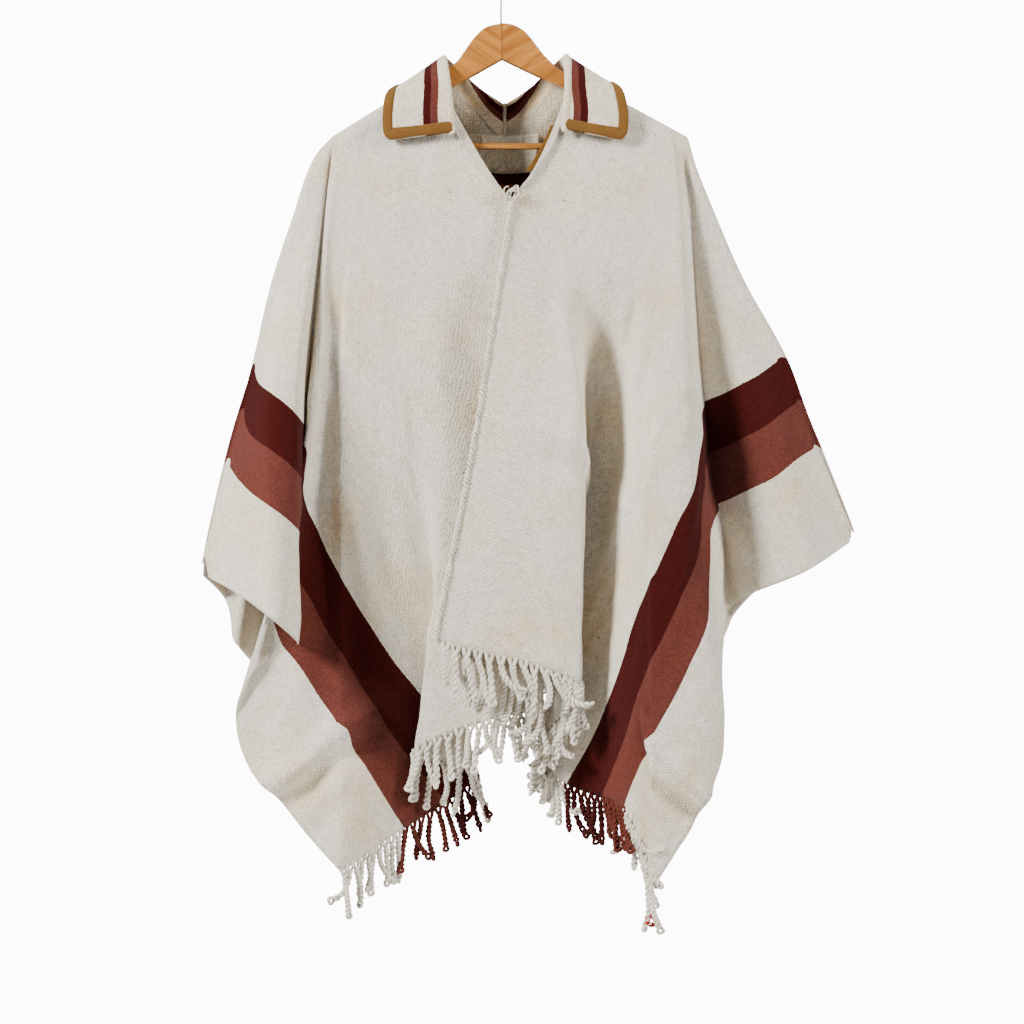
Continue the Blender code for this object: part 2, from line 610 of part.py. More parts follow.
def round_bar(name, radius, start, end, home):
    """A cylinder along X at the height of the bar."""
    bpy.ops.mesh.primitive_cylinder_add(vertices=20, radius=radius, depth=end - start,
                                        location=((start + end) / 2, 0.0, BAR_Z),
                                        rotation=(0.0, math.pi / 2, 0.0))
    bar = bpy.context.object
    bar.name = name
    for collection in list(bar.users_collection):
        collection.objects.unlink(bar)
    home.objects.link(bar)
    return bar


def hook(home):
    """The steel wire: a straight shank, a short bend and the round crook."""
    centre_z = WIRE_RADIUS - CROOK_RADIUS
    points = [(x, 0.0, z) for x, z in SHANK]
    for degrees in range(*CROOK_ARC):
        angle = math.radians(degrees)
        points.append((CROOK_RADIUS * math.cos(angle), 0.0,
                       centre_z + CROOK_RADIUS * math.sin(angle)))
    curve = bpy.data.curves.new("hanger_hook", "CURVE")
    curve.dimensions = "3D"
    curve.bevel_depth = WIRE_RADIUS
    curve.bevel_resolution = 2
    curve.use_fill_caps = True
    spline = curve.splines.new("POLY")
    spline.points.add(len(points) - 1)
    for point, place in zip(spline.points, points):
        point.co = (*place, 1.0)
    wire = bpy.data.objects.new("hanger_hook", curve)
    home.objects.link(wire)
    curve.materials.append(material("steel"))
    return wire


def build():
    for obj in list(bpy.data.objects):
        bpy.data.objects.remove(obj, do_unlink=True)
    home = bpy.data.collections.new("poncho_on_hanger")
    tools = bpy.data.collections.new("cutters")
    bpy.context.scene.collection.children.link(home)
    bpy.context.scene.collection.children.link(tools)

    socket = round_bar("bar_socket", BAR_RADIUS + GAP, BAR_FROM - GAP, BAR_TO + GAP, tools)
    socket.hide_render = True
    socket.display_type = "WIRE"
    bar = round_bar("hanger_bar", BAR_RADIUS, BAR_FROM, BAR_TO, home)
    bar.data.materials.append(material("varnished_wood"))
    bar.data.shade_smooth()
    bar.data.set_sharp_from_angle(angle=math.radians(40))
    hook(home)
    for side in ("left", "right"):
        flat_arm(side, home, socket)
        woven_half(side, home)
        fringe(side, False, home)
        fringe(side, True, home)
        collar_half(side, home)
        collar_binding(side, home)
    facing(home)
    label(home)
    slit_tape(home)


build()
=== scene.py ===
# %% [markdown]
# # A poncho on a wooden hanger
# Two strips of handwoven wool hang from a coat hanger.  This lesson builds each piece where
# it is needed: first the frame and the camera, then the cloth, its collar and fringe, then
# the hanger, and at the end the light.  All lengths are metres and Z is up.

# %% The frame
import math
import random

import bmesh
import bpy
import numpy as np
from mathutils import Matrix, Vector, noise


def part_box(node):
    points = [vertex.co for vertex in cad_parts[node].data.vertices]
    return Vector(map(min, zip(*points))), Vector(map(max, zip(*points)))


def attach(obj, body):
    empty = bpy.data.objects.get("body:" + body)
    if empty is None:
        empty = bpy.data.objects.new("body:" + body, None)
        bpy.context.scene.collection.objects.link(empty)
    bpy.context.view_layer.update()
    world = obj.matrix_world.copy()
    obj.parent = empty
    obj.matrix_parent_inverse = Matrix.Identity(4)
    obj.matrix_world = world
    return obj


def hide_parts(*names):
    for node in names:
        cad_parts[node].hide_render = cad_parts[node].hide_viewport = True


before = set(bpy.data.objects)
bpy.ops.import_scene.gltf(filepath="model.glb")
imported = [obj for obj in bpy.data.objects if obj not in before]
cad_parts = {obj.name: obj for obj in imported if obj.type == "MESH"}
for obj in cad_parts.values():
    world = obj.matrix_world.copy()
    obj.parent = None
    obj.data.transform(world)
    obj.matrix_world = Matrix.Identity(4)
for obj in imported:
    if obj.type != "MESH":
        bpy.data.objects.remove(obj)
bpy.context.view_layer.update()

noise.seed_set(5)          # noise vectors are otherwise new at each run
print("CAD nodes:", sorted(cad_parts))

# %% [markdown]
# ## The camera
# A long lens from three metres away keeps the poncho's straight edges straight.  It looks
# level, at the middle of the cloth.

# %% Camera
VIEW_FROM = (0.01375, -3.0, -0.678)
LENS, SENSOR = 84.4, 36.0  # both in millimetres


def add_object(name, data):
    made = bpy.data.objects.new(name, data)
    bpy.context.scene.collection.objects.link(made)
    return made


camera = add_object("camera", bpy.data.cameras.new("camera"))
camera.data.lens = LENS
camera.data.sensor_width = SENSOR
camera.data.clip_end = 50.0
camera.location = VIEW_FROM
camera.rotation_euler = (math.pi / 2, 0.0, 0.0)
bpy.context.scene.camera = camera
print("camera", tuple(round(c, 3) for c in camera.location))

# %% [markdown]
# ## Sizes and fold lines
# Each half of the poncho is one strip, laid over the shoulder line from hem to hem.  The
# drape is written as fold lines: each runs from the shoulder to the hem or side edge, and
# bends once at a knee.  The tables are those of the solid model, so that the fine cloth
# lies on the plain one.

# %% Sizes of the strips
STRIP_WIDTH = 0.745        # from the centre seam to the side edge
STRIP_DROP = 0.745         # from the shoulder line to a hem
CLOTH = 0.0025             # thickness of the wool
GAP = 0.0003
SHOULDER_ROLL = 0.0105     # radius of the cloth over the arms
CHEST_WIDTH = 0.165        # the cloth lies on the arm this far out
SLIT_FRONT = 0.190
SLIT_BACK = 0.116
SLIT_BOW = 0.021           # how far the slit's edges bow apart
BOW_REACH = 0.12
LAP = 0.0050               # the right half lies this far over the left
LAP_REACH = 0.14
SEAM_BLEND = 0.15
FREE_SHARE = 0.10          # where a line past the arm leaves its crest
CHEST = {
    "left": dict(neck=(-0.0762, -0.1268), along=(-0.849, -0.525), down=(0.467, -0.856)),
    "right": dict(neck=(0.0812, -0.1280), along=(0.878, -0.479), down=(-0.370, -0.929)),
}
BACK_DOWN = {"left": (0.690, -0.712), "right": (-0.660, -0.704)}
BACK_HANG = 0.40
FRONT_HANG = 0.06
SEAM_TOP = {False: (0.0130, -0.0225, -0.2945), True: (0.0042, 0.0572, -0.2092)}

# %% The shoulder line past the arm's end: metres out from the neck, then x, y, z
SHOULDER = {
    "left": (
        (0.159, -0.2112, 0.0, -0.2105),
        (0.193, -0.2319, 0.0, -0.2343),
        (0.275, -0.26, 0.003, -0.3105),
        (0.363, -0.2875, 0.006, -0.3943),
        (0.497, -0.3144, 0.012, -0.5061),
        (0.561, -0.335, 0.018, -0.5699),
        (0.625, -0.3519, 0.022, -0.6324),
        (0.745, -0.38, 0.03, -0.7543),
    ),
    "right": (
        (0.172, 0.2325, 0.0, -0.2111),
        (0.204, 0.2412, 0.0, -0.2418),
        (0.262, 0.2625, 0.002, -0.2955),
        (0.359, 0.3012, 0.004, -0.3842),
        (0.497, 0.3612, 0.008, -0.4942),
        (0.561, 0.3825, 0.012, -0.5518),
        (0.625, 0.4069, 0.015, -0.6105),
        (0.745, 0.447, 0.02, -0.7105),
    ),
}

# %% The fold lines: reach along hem and side edge, crest, knee x, y, z, foot x, y, z
FRONT_FOLDS = {
    "left": (
        (0.0, 0.0, -0.031, -0.061, -0.582, -0.08, -0.086, -0.834),
        (0.18, 0.01, 0.045, -0.038, -0.57, 0.05, -0.06, -0.915),
        (0.32, 0.025, 0.0, -0.024, -0.59, -0.02, -0.05, -0.936),
        (0.42, 0.035, -0.064, -0.035, -0.6, -0.107, -0.034, -0.978),
        (0.497, 0.06, -0.11, -0.022, -0.61, -0.03, -0.01, -1.005),
        (0.561, 0.075, -0.122, -0.022, -0.618, -0.068, 0.002, -1.041),
        (0.625, 0.09, -0.1504, -0.016, -0.6357, -0.121, -0.03, -1.07),
        (0.745, 0.1, -0.1986, -0.02, -0.6631, -0.193, -0.095, -1.115),
        (0.805, 0.11, -0.2106, -0.008, -0.6531, -0.232, -0.085, -1.074),
        (0.87, 0.12, -0.2217, -0.01, -0.6307, -0.272, -0.078, -1.026),
        (0.92, 0.13, -0.2298, -0.018, -0.6084, -0.3082, -0.062, -0.9914),
        (0.98, 0.14, -0.2347, -0.034, -0.5865, -0.3253, -0.052, -0.9384),
        (1.05, 0.147, -0.2359, -0.034, -0.5618, -0.3025, -0.058, -0.8741),
        (1.15, 0.155, -0.242, -0.006, -0.5408, -0.26, -0.014, -0.846),
        (1.28, 0.172, -0.249, -0.062, -0.541, -0.246, -0.096, -0.835),
        (1.34, 0.26, -0.276, -0.072, -0.56, -0.271, -0.124, -0.809),
        (1.41, 0.43, -0.318, -0.036, -0.63, -0.316, -0.056, -0.783),
        (1.49, 0.745, -0.38, 0.03, -0.7543, -0.38, 0.03, -0.7543),
    ),
    "right": (
        (0.0, 0.0, -0.031, -0.061, -0.582, -0.08, -0.086, -0.834),
        (0.2, 0.02, 0.098, -0.066, -0.588, 0.098, -0.072, -0.894),
        (0.37, 0.038, 0.108, 0.018, -0.6, 0.05, -0.036, -0.965),
        (0.43, 0.05, 0.115, 0.026, -0.6, 0.058, 0.004, -0.988),
        (0.48, 0.06, 0.14, 0.0, -0.6, 0.0721, -0.022, -1.0093),
        (0.561, 0.08, 0.1521, -0.036, -0.6163, 0.122, -0.055, -1.029),
        (0.625, 0.095, 0.1681, -0.06, -0.629, 0.15, -0.1, -1.037),
        (0.745, 0.115, 0.1849, -0.086, -0.6513, 0.18, -0.132, -1.132),
        (0.875, 0.13, 0.2138, -0.09, -0.6465, 0.244, -0.118, -1.03),
        (0.96, 0.14, 0.234, -0.08, -0.6439, 0.271, -0.098, -0.959),
        (1.05, 0.15, 0.243, -0.062, -0.64, 0.27, -0.074, -0.878),
        (1.11, 0.157, 0.247, -0.04, -0.62, 0.272, -0.046, -0.836),
        (1.19, 0.17, 0.254, 0.006, -0.54, 0.288, 0.0, -0.796),
        (1.25, 0.2, 0.276, -0.01, -0.54, 0.3, -0.016, -0.785),
        (1.37, 0.4, 0.34, -0.038, -0.59, 0.371, -0.052, -0.753),
        (1.49, 0.745, 0.447, 0.02, -0.7105, 0.447, 0.02, -0.7105),
    ),
}
BACK_FOLDS = {
    "left": (
        (0.0, 0.004, 0.06, -0.56, 0.004, 0.055, -0.838),
        (0.045, -0.009, 0.068, -0.56, -0.012, 0.066, -0.846),
        (0.13, -0.03, 0.108, -0.56, -0.045, 0.15, -0.872),
        (0.27, -0.068, 0.038, -0.57, -0.082, 0.036, -0.905),
        (0.41, -0.098, 0.112, -0.58, -0.116, 0.142, -0.955),
        (0.56, -0.132, 0.024, -0.6, -0.156, 0.028, -1.01),
        (0.745, -0.18, 0.1, -0.64, -0.2, 0.14, -1.08),
        (0.94, -0.228, 0.03, -0.6, -0.262, 0.044, -0.975),
        (1.09, -0.262, 0.098, -0.57, -0.31, 0.14, -0.893),
        (1.24, -0.3, 0.047, -0.58, -0.337, 0.058, -0.847),
        (1.36, -0.332, 0.092, -0.64, -0.358, 0.12, -0.794),
        (1.49, -0.38, 0.03, -0.7543, -0.38, 0.03, -0.7543),
    ),
    "right": (
        (0.0, 0.004, 0.06, -0.56, 0.004, 0.055, -0.838),
        (0.045, 0.018, 0.068, -0.56, 0.021, 0.066, -0.846),
        (0.14, 0.04, 0.108, -0.56, 0.058, 0.148, -0.868),
        (0.27, 0.077, 0.038, -0.57, 0.092, 0.034, -0.9),
        (0.42, 0.114, 0.114, -0.58, 0.132, 0.144, -0.95),
        (0.57, 0.148, 0.02, -0.6, 0.162, 0.026, -1.005),
        (0.745, 0.184, 0.1, -0.64, 0.202, 0.138, -1.07),
        (0.94, 0.232, 0.026, -0.6, 0.25, 0.034, -0.945),
        (1.09, 0.272, 0.1, -0.56, 0.298, 0.138, -0.822),
        (1.24, 0.322, 0.033, -0.56, 0.358, 0.046, -0.752),
        (1.36, 0.378, 0.092, -0.61, 0.402, 0.118, -0.724),
        (1.49, 0.447, 0.02, -0.7105, 0.447, 0.02, -0.7105),
    ),
}
print("fold lines in front:", {side: len(rows) for side, rows in FRONT_FOLDS.items()})

# %% [markdown]
# ## A curve that never overshoots
# Cloth folds would cross if the curve between two fold lines swung past them.  A cubic with
# its slopes held back where the values turn round stays between its neighbours.

# %% Smooth reading of a table
def through(stations, values, at):
    """Values on a smooth curve through the stations, one row for each place in at."""
    stations, values = np.asarray(stations, float), np.asarray(values, float)
    steps = np.diff(stations)
    rises = np.diff(values, axis=0) / steps[:, None]
    slopes = np.zeros_like(values)
    slopes[0], slopes[-1] = rises[0], rises[-1]
    for i in range(1, len(stations) - 1):
        early, late = rises[i - 1], rises[i]
        agree = early * late > 0
        early_weight, late_weight = 2 * steps[i] + steps[i - 1], steps[i] + 2 * steps[i - 1]
        total = np.where(agree, early_weight * late + late_weight * early, 1.0)
        mean = (early_weight + late_weight) * early * late / total
        slopes[i] = np.where(agree, mean, 0.0)
    at = np.atleast_1d(at)
    i = np.clip(np.searchsorted(stations, at) - 1, 0, len(steps) - 1)
    u = ((at - stations[i]) / steps[i])[:, None]
    blend = u * u * (3 - 2 * u)
    lean = steps[i][:, None] * u * (1 - u)
    return (values[i] * (1 - blend) + values[i + 1] * blend
            + lean * ((1 - u) * slopes[i] - u * slopes[i + 1]))


def read_folds(rows, reach):
    """One fold line between the rows of a table; the hem's corner stays sharp."""
    table = np.array(rows)
    if reach <= STRIP_WIDTH:
        part = table[table[:, 0] <= STRIP_WIDTH + 1e-6]
    else:
        part = table[table[:, 0] >= STRIP_WIDTH - 1e-6]
    return through(part[:, 0], part[:, 1:], reach)[0]


# %% [markdown]
# ## The drape
# One column of the cloth is one fold line.  It rolls over the arm, lies flat on the chest
# for a hand's width, and then falls.  The whole column is worked out at once, as an array.

# %% Points of the draped cloth
def foot_on_cut(reach):
    """Where a fold line ends on the flat strip: metres out, and down from the shoulder."""
    if reach <= STRIP_WIDTH:
        return reach, STRIP_DROP
    return STRIP_WIDTH, max(STRIP_WIDTH + STRIP_DROP - reach, 0.0)


def shoulder_point(side, out):
    chest, rows = CHEST[side], np.array(SHOULDER[side])
    if out <= rows[0, 0]:
        return np.array((chest["neck"][0] + chest["along"][0] * out, 0.0,
                         chest["neck"][1] + chest["along"][1] * out))
    return through(rows[:, 0], rows[:, 1:], out)[0]


def chest_point(side, out, down, behind):
    chest = CHEST[side]
    way = BACK_DOWN[side] if behind else chest["down"]
    hang = (BACK_HANG if behind else FRONT_HANG) * down
    return np.array((chest["neck"][0] + chest["along"][0] * out + way[0] * down,
                     (SHOULDER_ROLL + hang) * (1 if behind else -1),
                     chest["neck"][1] + chest["along"][1] * out + way[1] * down))


def fold_line(side, behind, reach):
    """Crest, start, knee and foot of one line, and the share of its length at two of them."""
    crest_out = read_folds([row[:2] for row in FRONT_FOLDS[side]], reach)[0]
    row = read_folds(BACK_FOLDS[side] if behind else FRONT_FOLDS[side], reach)
    row = row if behind else row[1:]
    knee, foot = row[:3].copy(), row[3:].copy()
    crest = shoulder_point(side, crest_out)
    foot_out, foot_down = foot_on_cut(reach)
    share = FREE_SHARE
    upper = max(np.linalg.norm(knee - crest), 1e-6)
    start = crest + (knee - crest) * share * (1 + np.linalg.norm(foot - knee) / upper)
    if crest_out < CHEST_WIDTH and foot_down > 0.01:
        run = max(foot_out - crest_out, 1e-6)
        depth = SLIT_BACK if behind else SLIT_FRONT
        flat_share = min(depth / foot_down, (CHEST_WIDTH - crest_out) / run, 0.5)
        flat = chest_point(side, crest_out + run * flat_share, foot_down * flat_share, behind)
        seam = max(1 - reach / LAP_REACH, 0.0)
        flat = flat * (1 - seam) + np.array(SEAM_TOP[behind]) * seam
        weight = min((CHEST_WIDTH - crest_out) / 0.03, 1.0)
        start = start * (1 - weight) + flat * weight
        share = share * (1 - weight) + flat_share * weight
    if side == "right":
        lap = LAP * max(1 - reach / LAP_REACH, 0.0) * (1 if behind else -1)
        for point in (start, knee, foot):
            point[1] += lap
    upper, lower = np.linalg.norm(knee - start), np.linalg.norm(foot - knee)
    bend = share + (1 - share) * upper / max(upper + lower, 1e-6)
    return crest, start, knee, foot, share, bend, crest_out


def cloth_column(side, behind, reach, shares):
    """Points down one fold line, and their places (out, down) on the flat strip."""
    crest, start, knee, foot, first, bend, crest_out = fold_line(side, behind, reach)
    foot_out, foot_down = foot_on_cut(reach)
    shares = np.atleast_1d(np.asarray(shares, float))
    flat = np.stack([crest_out + (foot_out - crest_out) * shares, foot_down * shares], axis=1)
    if np.linalg.norm(foot - crest) < 1e-5:
        return np.repeat(crest[None], len(shares), axis=0), flat
    down = foot_down * shares
    quarter = SHOULDER_ROLL * math.pi / 2
    at = np.where(down < quarter, SHOULDER_ROLL * (1 - np.cos(down / SHOULDER_ROLL)),
                  down - (quarter - SHOULDER_ROLL) * (1 - shares)) / foot_down
    top = crest.copy()
    top[1] += SHOULDER_ROLL * (1 if behind else -1)
    smooth = through((0.0, first, bend, 1.0), (top, start, knee, foot), at)
    parted = np.where((at < first)[:, None], top + (start - top) * (at / first)[:, None],
                      through((first, bend, 1.0), (start, knee, foot), at))
    apart = max(1 - reach / SEAM_BLEND, 0.0)
    points = smooth * (1 - apart) + parted * apart
    turn = np.minimum(down / SHOULDER_ROLL, math.pi / 2)
    points[:, 1] = crest[1] + (points[:, 1] - crest[1]) * np.sin(turn)
    if not behind:
        near = max(1 - reach / BOW_REACH, 0.0) * np.clip(1 - shares * reach / BOW_REACH, 0, 1)
        bow = np.where(down < SLIT_FRONT, np.sin(math.pi * down / SLIT_FRONT), 0.0)
        points[:, 0] += (-1 if side == "left" else 1) * SLIT_BOW * near * bow
    return points, flat


hem_corner = cloth_column("right", False, STRIP_WIDTH, 1.0)[0][0]
print("lowest corner of the cloth:", [round(float(c), 3) for c in hem_corner])

# %% [markdown]
# ## Creases
# Wool that has lain folded keeps soft ridges.  Each row of a table is one: a line on the
# flat strip, how wide it is and how far it stands out.  A ridge has a round section and
# fades at both ends.  Slow noise over all of it takes away the last machine-made evenness.

# %% Creases: from (out, down) to (out, down), width, height
CREASES = {
    ("left", False): (
        (0.56, 0.612, 0.9, 0.596, 0.014, 0.0155),
        (0.56, 0.64, 0.9, 0.626, 0.013, -0.0075),
        (0.1, 0.6, 0.6, 0.612, 0.014, 0.003),
        (0.66, 0.675, 0.8, 0.69, 0.012, -0.005),
        (0.13, 0.3, 0.26, 0.62, 0.016, 0.0046),
        (0.17, 0.33, 0.29, 0.6, 0.013, -0.003),
        (0.22, 0.22, 0.38, 0.46, 0.02, -0.004),
        (0.4, 0.3, 0.47, 0.55, 0.018, 0.0042),
        (0.34, 0.14, 0.62, 0.36, 0.024, 0.0044),
        (0.55, 0.12, 0.74, 0.34, 0.02, -0.0036),
    ),
    ("right", False): (
        (0.58, 0.612, 0.9, 0.6, 0.014, 0.0155),
        (0.58, 0.64, 0.9, 0.628, 0.013, -0.0075),
        (0.0, 0.452, 0.26, 0.47, 0.012, 0.0052),
        (0.0, 0.5, 0.2, 0.486, 0.011, -0.003),
        (0.66, 0.67, 0.8, 0.69, 0.012, -0.0045),
        (0.05, 0.2, 0.03, 0.7, 0.012, 0.003),
        (0.09, 0.24, 0.12, 0.66, 0.016, 0.004),
        (0.15, 0.2, 0.26, 0.52, 0.02, -0.004),
        (0.36, 0.24, 0.5, 0.58, 0.018, 0.0048),
        (0.3, 0.12, 0.6, 0.3, 0.024, 0.004),
        (0.56, 0.14, 0.74, 0.4, 0.02, 0.0036),
    ),
    ("left", True): (
        (0.0, 0.604, 0.9, 0.596, 0.015, 0.01),
        (0.12, 0.2, 0.2, 0.6, 0.018, 0.0042),
        (0.28, 0.16, 0.46, 0.52, 0.02, -0.004),
        (0.44, 0.12, 0.7, 0.44, 0.022, 0.0042),
    ),
    ("right", True): (
        (0.0, 0.606, 0.9, 0.6, 0.015, 0.01),
        (0.1, 0.22, 0.16, 0.64, 0.018, -0.0038),
        (0.24, 0.16, 0.38, 0.56, 0.02, 0.0046),
        (0.4, 0.14, 0.68, 0.42, 0.022, -0.0038),
    ),
}


SLOW_SWELL = 0.0052        # slow noise over the cloth
QUICK_SWELL = 0.0022


def smooth_step(low, high, value):
    u = np.clip((value - low) / (high - low), 0, 1)
    return u * u * (3 - 2 * u)


def crease_height(side, behind, flat):
    """How far the creases lift the cloth at each flat place (out, down)."""
    lift = np.zeros(len(flat))
    for *ends, width, height in CREASES[side, behind]:
        start, line = np.array(ends[:2]), np.array(ends[2:]) - np.array(ends[:2])
        along = np.clip((flat - start) @ line / (line @ line), 0, 1)
        away = np.linalg.norm(flat - start - along[:, None] * line, axis=1)
        lift += height * np.exp(-(away / width) ** 2) * np.sin(math.pi * along) ** 0.5
    seed = {"left": 0.0, "right": 7.3}[side] + (3.1 if behind else 0.0)
    for i, (out, down) in enumerate(flat):
        lift[i] += SLOW_SWELL * noise.noise(Vector((out * 11, down * 5, seed)))
        lift[i] += QUICK_SWELL * noise.noise(Vector((out * 34, down * 17, seed + 1.7)))
    free = smooth_step(0.10, 0.24, flat[:, 1]) * smooth_step(0.015, 0.07, flat[:, 0])
    return lift * free


# %% [markdown]
# ## The woven halves
# A grid has rows and columns of quads, as cloth has warp and weft, so it is the natural
# start for a draped sheet: bmesh makes the flat grid, and each vertex moves to its place on
# the drape.  The UV map keeps the flat place in metres, for the stripes and the weave.  A
# Solidify modifier gives the wool its thickness, thinner at the very edge so it looks round.

# %% A mesh object, and how every piece is declared
def mesh_object(name, bm, sharp=None):
    """The finished bmesh as an object: smooth, but sharp past an angle in degrees."""
    mesh = bpy.data.meshes.new(name)
    bm.to_mesh(mesh)
    bm.free()
    mesh.shade_smooth()
    if sharp:
        mesh.set_sharp_from_angle(angle=math.radians(sharp))
    return add_object(name, mesh)


def settle(made, node=None):
    """Each piece is part of the one body, and most stand for a node of the plain model."""
    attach(made, "root")
    if node:
        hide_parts(node)
    print(made.name, len(made.data.polygons), "faces")
    return made


# %% A sheet from a grid of places
def sheet_from_grid(name, places, flat, thick, edge=0.45, lift=None):
    """A cloth piece: a bmesh grid moved to places, with its flat places as the UV map."""
    columns, rows = places.shape[:2]
    bm = bmesh.new()
    bmesh.ops.create_grid(bm, x_segments=columns - 1, y_segments=rows - 1, size=1.0)
    uv_layer = bm.loops.layers.uv.new("cloth")
    rim = bm.verts.layers.float.new("rim")
    index = {v: (round((v.co.x + 1) / 2 * (columns - 1)), round((v.co.y + 1) / 2 * (rows - 1)))
             for v in bm.verts}
    for face in bm.faces:
        for loop in face.loops:
            loop[uv_layer].uv = flat[index[loop.vert]]
    for vert, (i, j) in index.items():
        vert.co = places[i, j]
        vert[rim] = edge if i in (0, columns - 1) or j in (0, rows - 1) else 1.0
    if lift is not None:
        bm.normal_update()
        moves = {v: v.normal * lift[index[v]] for v in bm.verts}
        for vert, move in moves.items():
            vert.co += move
    bmesh.ops.remove_doubles(bm, verts=bm.verts, dist=0.00005)
    bmesh.ops.dissolve_degenerate(bm, edges=bm.edges, dist=0.00005)
    weights = [v[rim] for v in bm.verts]
    obj = mesh_object(name, bm)
    group = obj.vertex_groups.new(name="thickness")
    for i, weight in enumerate(weights):
        group.add([i], weight, "REPLACE")
    wall = obj.modifiers.new("wall", "SOLIDIFY")
    wall.thickness = thick
    wall.offset = 0.0
    wall.vertex_group = "thickness"
    return obj


# %% Each half, hem to hem
COLUMNS = 108              # over the hem, and again over the side edge
ROWS = 98                  # from the roll at the shoulder to the hem
ROLL_ROWS = 6
TIP = 0.003                # the last column stops this short of the shoulder line's end


def row_shares(reach):
    """Shares of a fold line where the cloth is sampled, closer together on the roll."""
    foot_down = max(foot_on_cut(reach)[1], 1e-6)
    quarter = SHOULDER_ROLL * math.pi / 2 / foot_down
    if foot_down < 0.2:
        quarter = min(quarter, 0.08)
    roll = quarter * np.linspace(0, 1, ROLL_ROWS + 1)[1:]
    return np.concatenate([roll, quarter + (1 - quarter) * np.linspace(0, 1, ROWS + 1)[1:]])


def woven_half(side):
    end = STRIP_WIDTH + STRIP_DROP - TIP
    reaches = np.concatenate([np.linspace(0, STRIP_WIDTH, COLUMNS + 1),
                              np.linspace(STRIP_WIDTH, end, COLUMNS + 1)[1:]])
    places, flats, lifts = [], [], []
    for reach in reaches:
        shares = row_shares(reach)
        front, front_flat = cloth_column(side, False, reach, np.concatenate([[0], shares]))
        back, back_flat = cloth_column(side, True, reach, shares)
        front_lift = crease_height(side, False, front_flat)
        back_lift = crease_height(side, True, back_flat)
        back_flat[:, 1] *= -1
        places.append(np.concatenate([front[::-1], back]))
        flats.append(np.concatenate([front_flat[::-1], back_flat]))
        lifts.append(np.concatenate([front_lift[::-1], back_lift]))
    outwards = 1 if side == "right" else -1
    return sheet_from_grid("poncho_" + side, np.array(places), np.array(flats), CLOTH,
                           lift=np.array(lifts) * outwards)


SIDES = ("left", "right")
halves = {side: settle(woven_half(side), "half_" + side) for side in SIDES}

# %% [markdown]
# ## Shader helpers
# A material is a small machine of nodes.  These helpers add a node with its options and
# wires in one line, and start a node group with named inputs and outputs.

# %% Nodes in one line
def add_node(tree, kind, feeds=None, **options):
    """A shader node: options are its settings, feeds its inputs, as sockets or values."""
    made = tree.nodes.new("ShaderNode" + kind)
    for name, value in options.items():
        setattr(made, name, value)
    for place, value in (feeds or {}).items():
        if isinstance(value, bpy.types.NodeSocket):
            tree.links.new(value, made.inputs[place])
        else:
            made.inputs[place].default_value = value
    return made


def math_node(tree, operation, *values):
    return add_node(tree, "Math", dict(enumerate(values)), operation=operation).outputs[0]


def mix_colors(tree, share, first, second, blend="MIX"):
    return add_node(tree, "Mix", {0: share, 6: first, 7: second}, data_type="RGBA",
                    blend_type=blend).outputs[2]


def shade(tree, color, by):
    return mix_colors(tree, 1.0, color, by, "MULTIPLY")


def stretch(tree, place, by):
    return add_node(tree, "VectorMath", {0: place, 1: by}, operation="MULTIPLY").outputs[0]


def noise_at(tree, place, scale, detail=2.0, rough=0.5, distortion=0.0):
    return add_node(tree, "TexNoise", {"Vector": place, "Scale": scale, "Detail": detail,
                                       "Roughness": rough, "Distortion": distortion}).outputs[0]


def remap(tree, value, low, high, to_low=0.0, to_high=1.0):
    return add_node(tree, "MapRange", {"Value": value, "From Min": low, "From Max": high,
                                       "To Min": to_low, "To Max": to_high}).outputs[0]


def start_group(name, inputs, outputs):
    """A node group with sockets of these names and kinds."""
    tree = bpy.data.node_groups.new(name, "ShaderNodeTree")
    for sockets, way in ((inputs, "INPUT"), (outputs, "OUTPUT")):
        for label, kind in sockets.items():
            tree.interface.new_socket(label, in_out=way, socket_type="NodeSocket" + kind)
    return tree, tree.nodes.new("NodeGroupInput").outputs, tree.nodes.new("NodeGroupOutput").inputs


def use_group(tree, group, feeds):
    made = tree.nodes.new("ShaderNodeGroup")
    made.node_tree = group
    for label, value in feeds.items():
        if isinstance(value, bpy.types.NodeSocket):
            tree.links.new(value, made.inputs[label])
        else:
            made.inputs[label].default_value = value
    return made.outputs


def start_material(name, rough, **settings):
    """A Principled material; settings are uniform values on the shader's own sockets."""
    mat = bpy.data.materials.new(name)
    mat.use_nodes = True
    shader = mat.node_tree.nodes["Principled BSDF"]
    shader.inputs["Roughness"].default_value = rough
    for label, value in settings.items():
        shader.inputs[label.replace("_", " ")].default_value = value
    return mat, mat.node_tree, shader


def bump(tree, shader, height, depth, strength=1.0):
    made = add_node(tree, "Bump", {"Height": height, "Distance": depth, "Strength": strength})
    tree.links.new(made.outputs[0], shader.inputs["Normal"])


# %% [markdown]
# ## Woven wool
# Close up, the cloth is a plain weave of thick handspun yarn: small bumps in a chequer that
# wander a little, a few darker fibres, and patches that have yellowed.  Both the stripes
# and the plain ground are the same cloth, so the weave is one group that takes any colour.

# %% The weave group
THREAD = 0.0026            # from one thread to the next


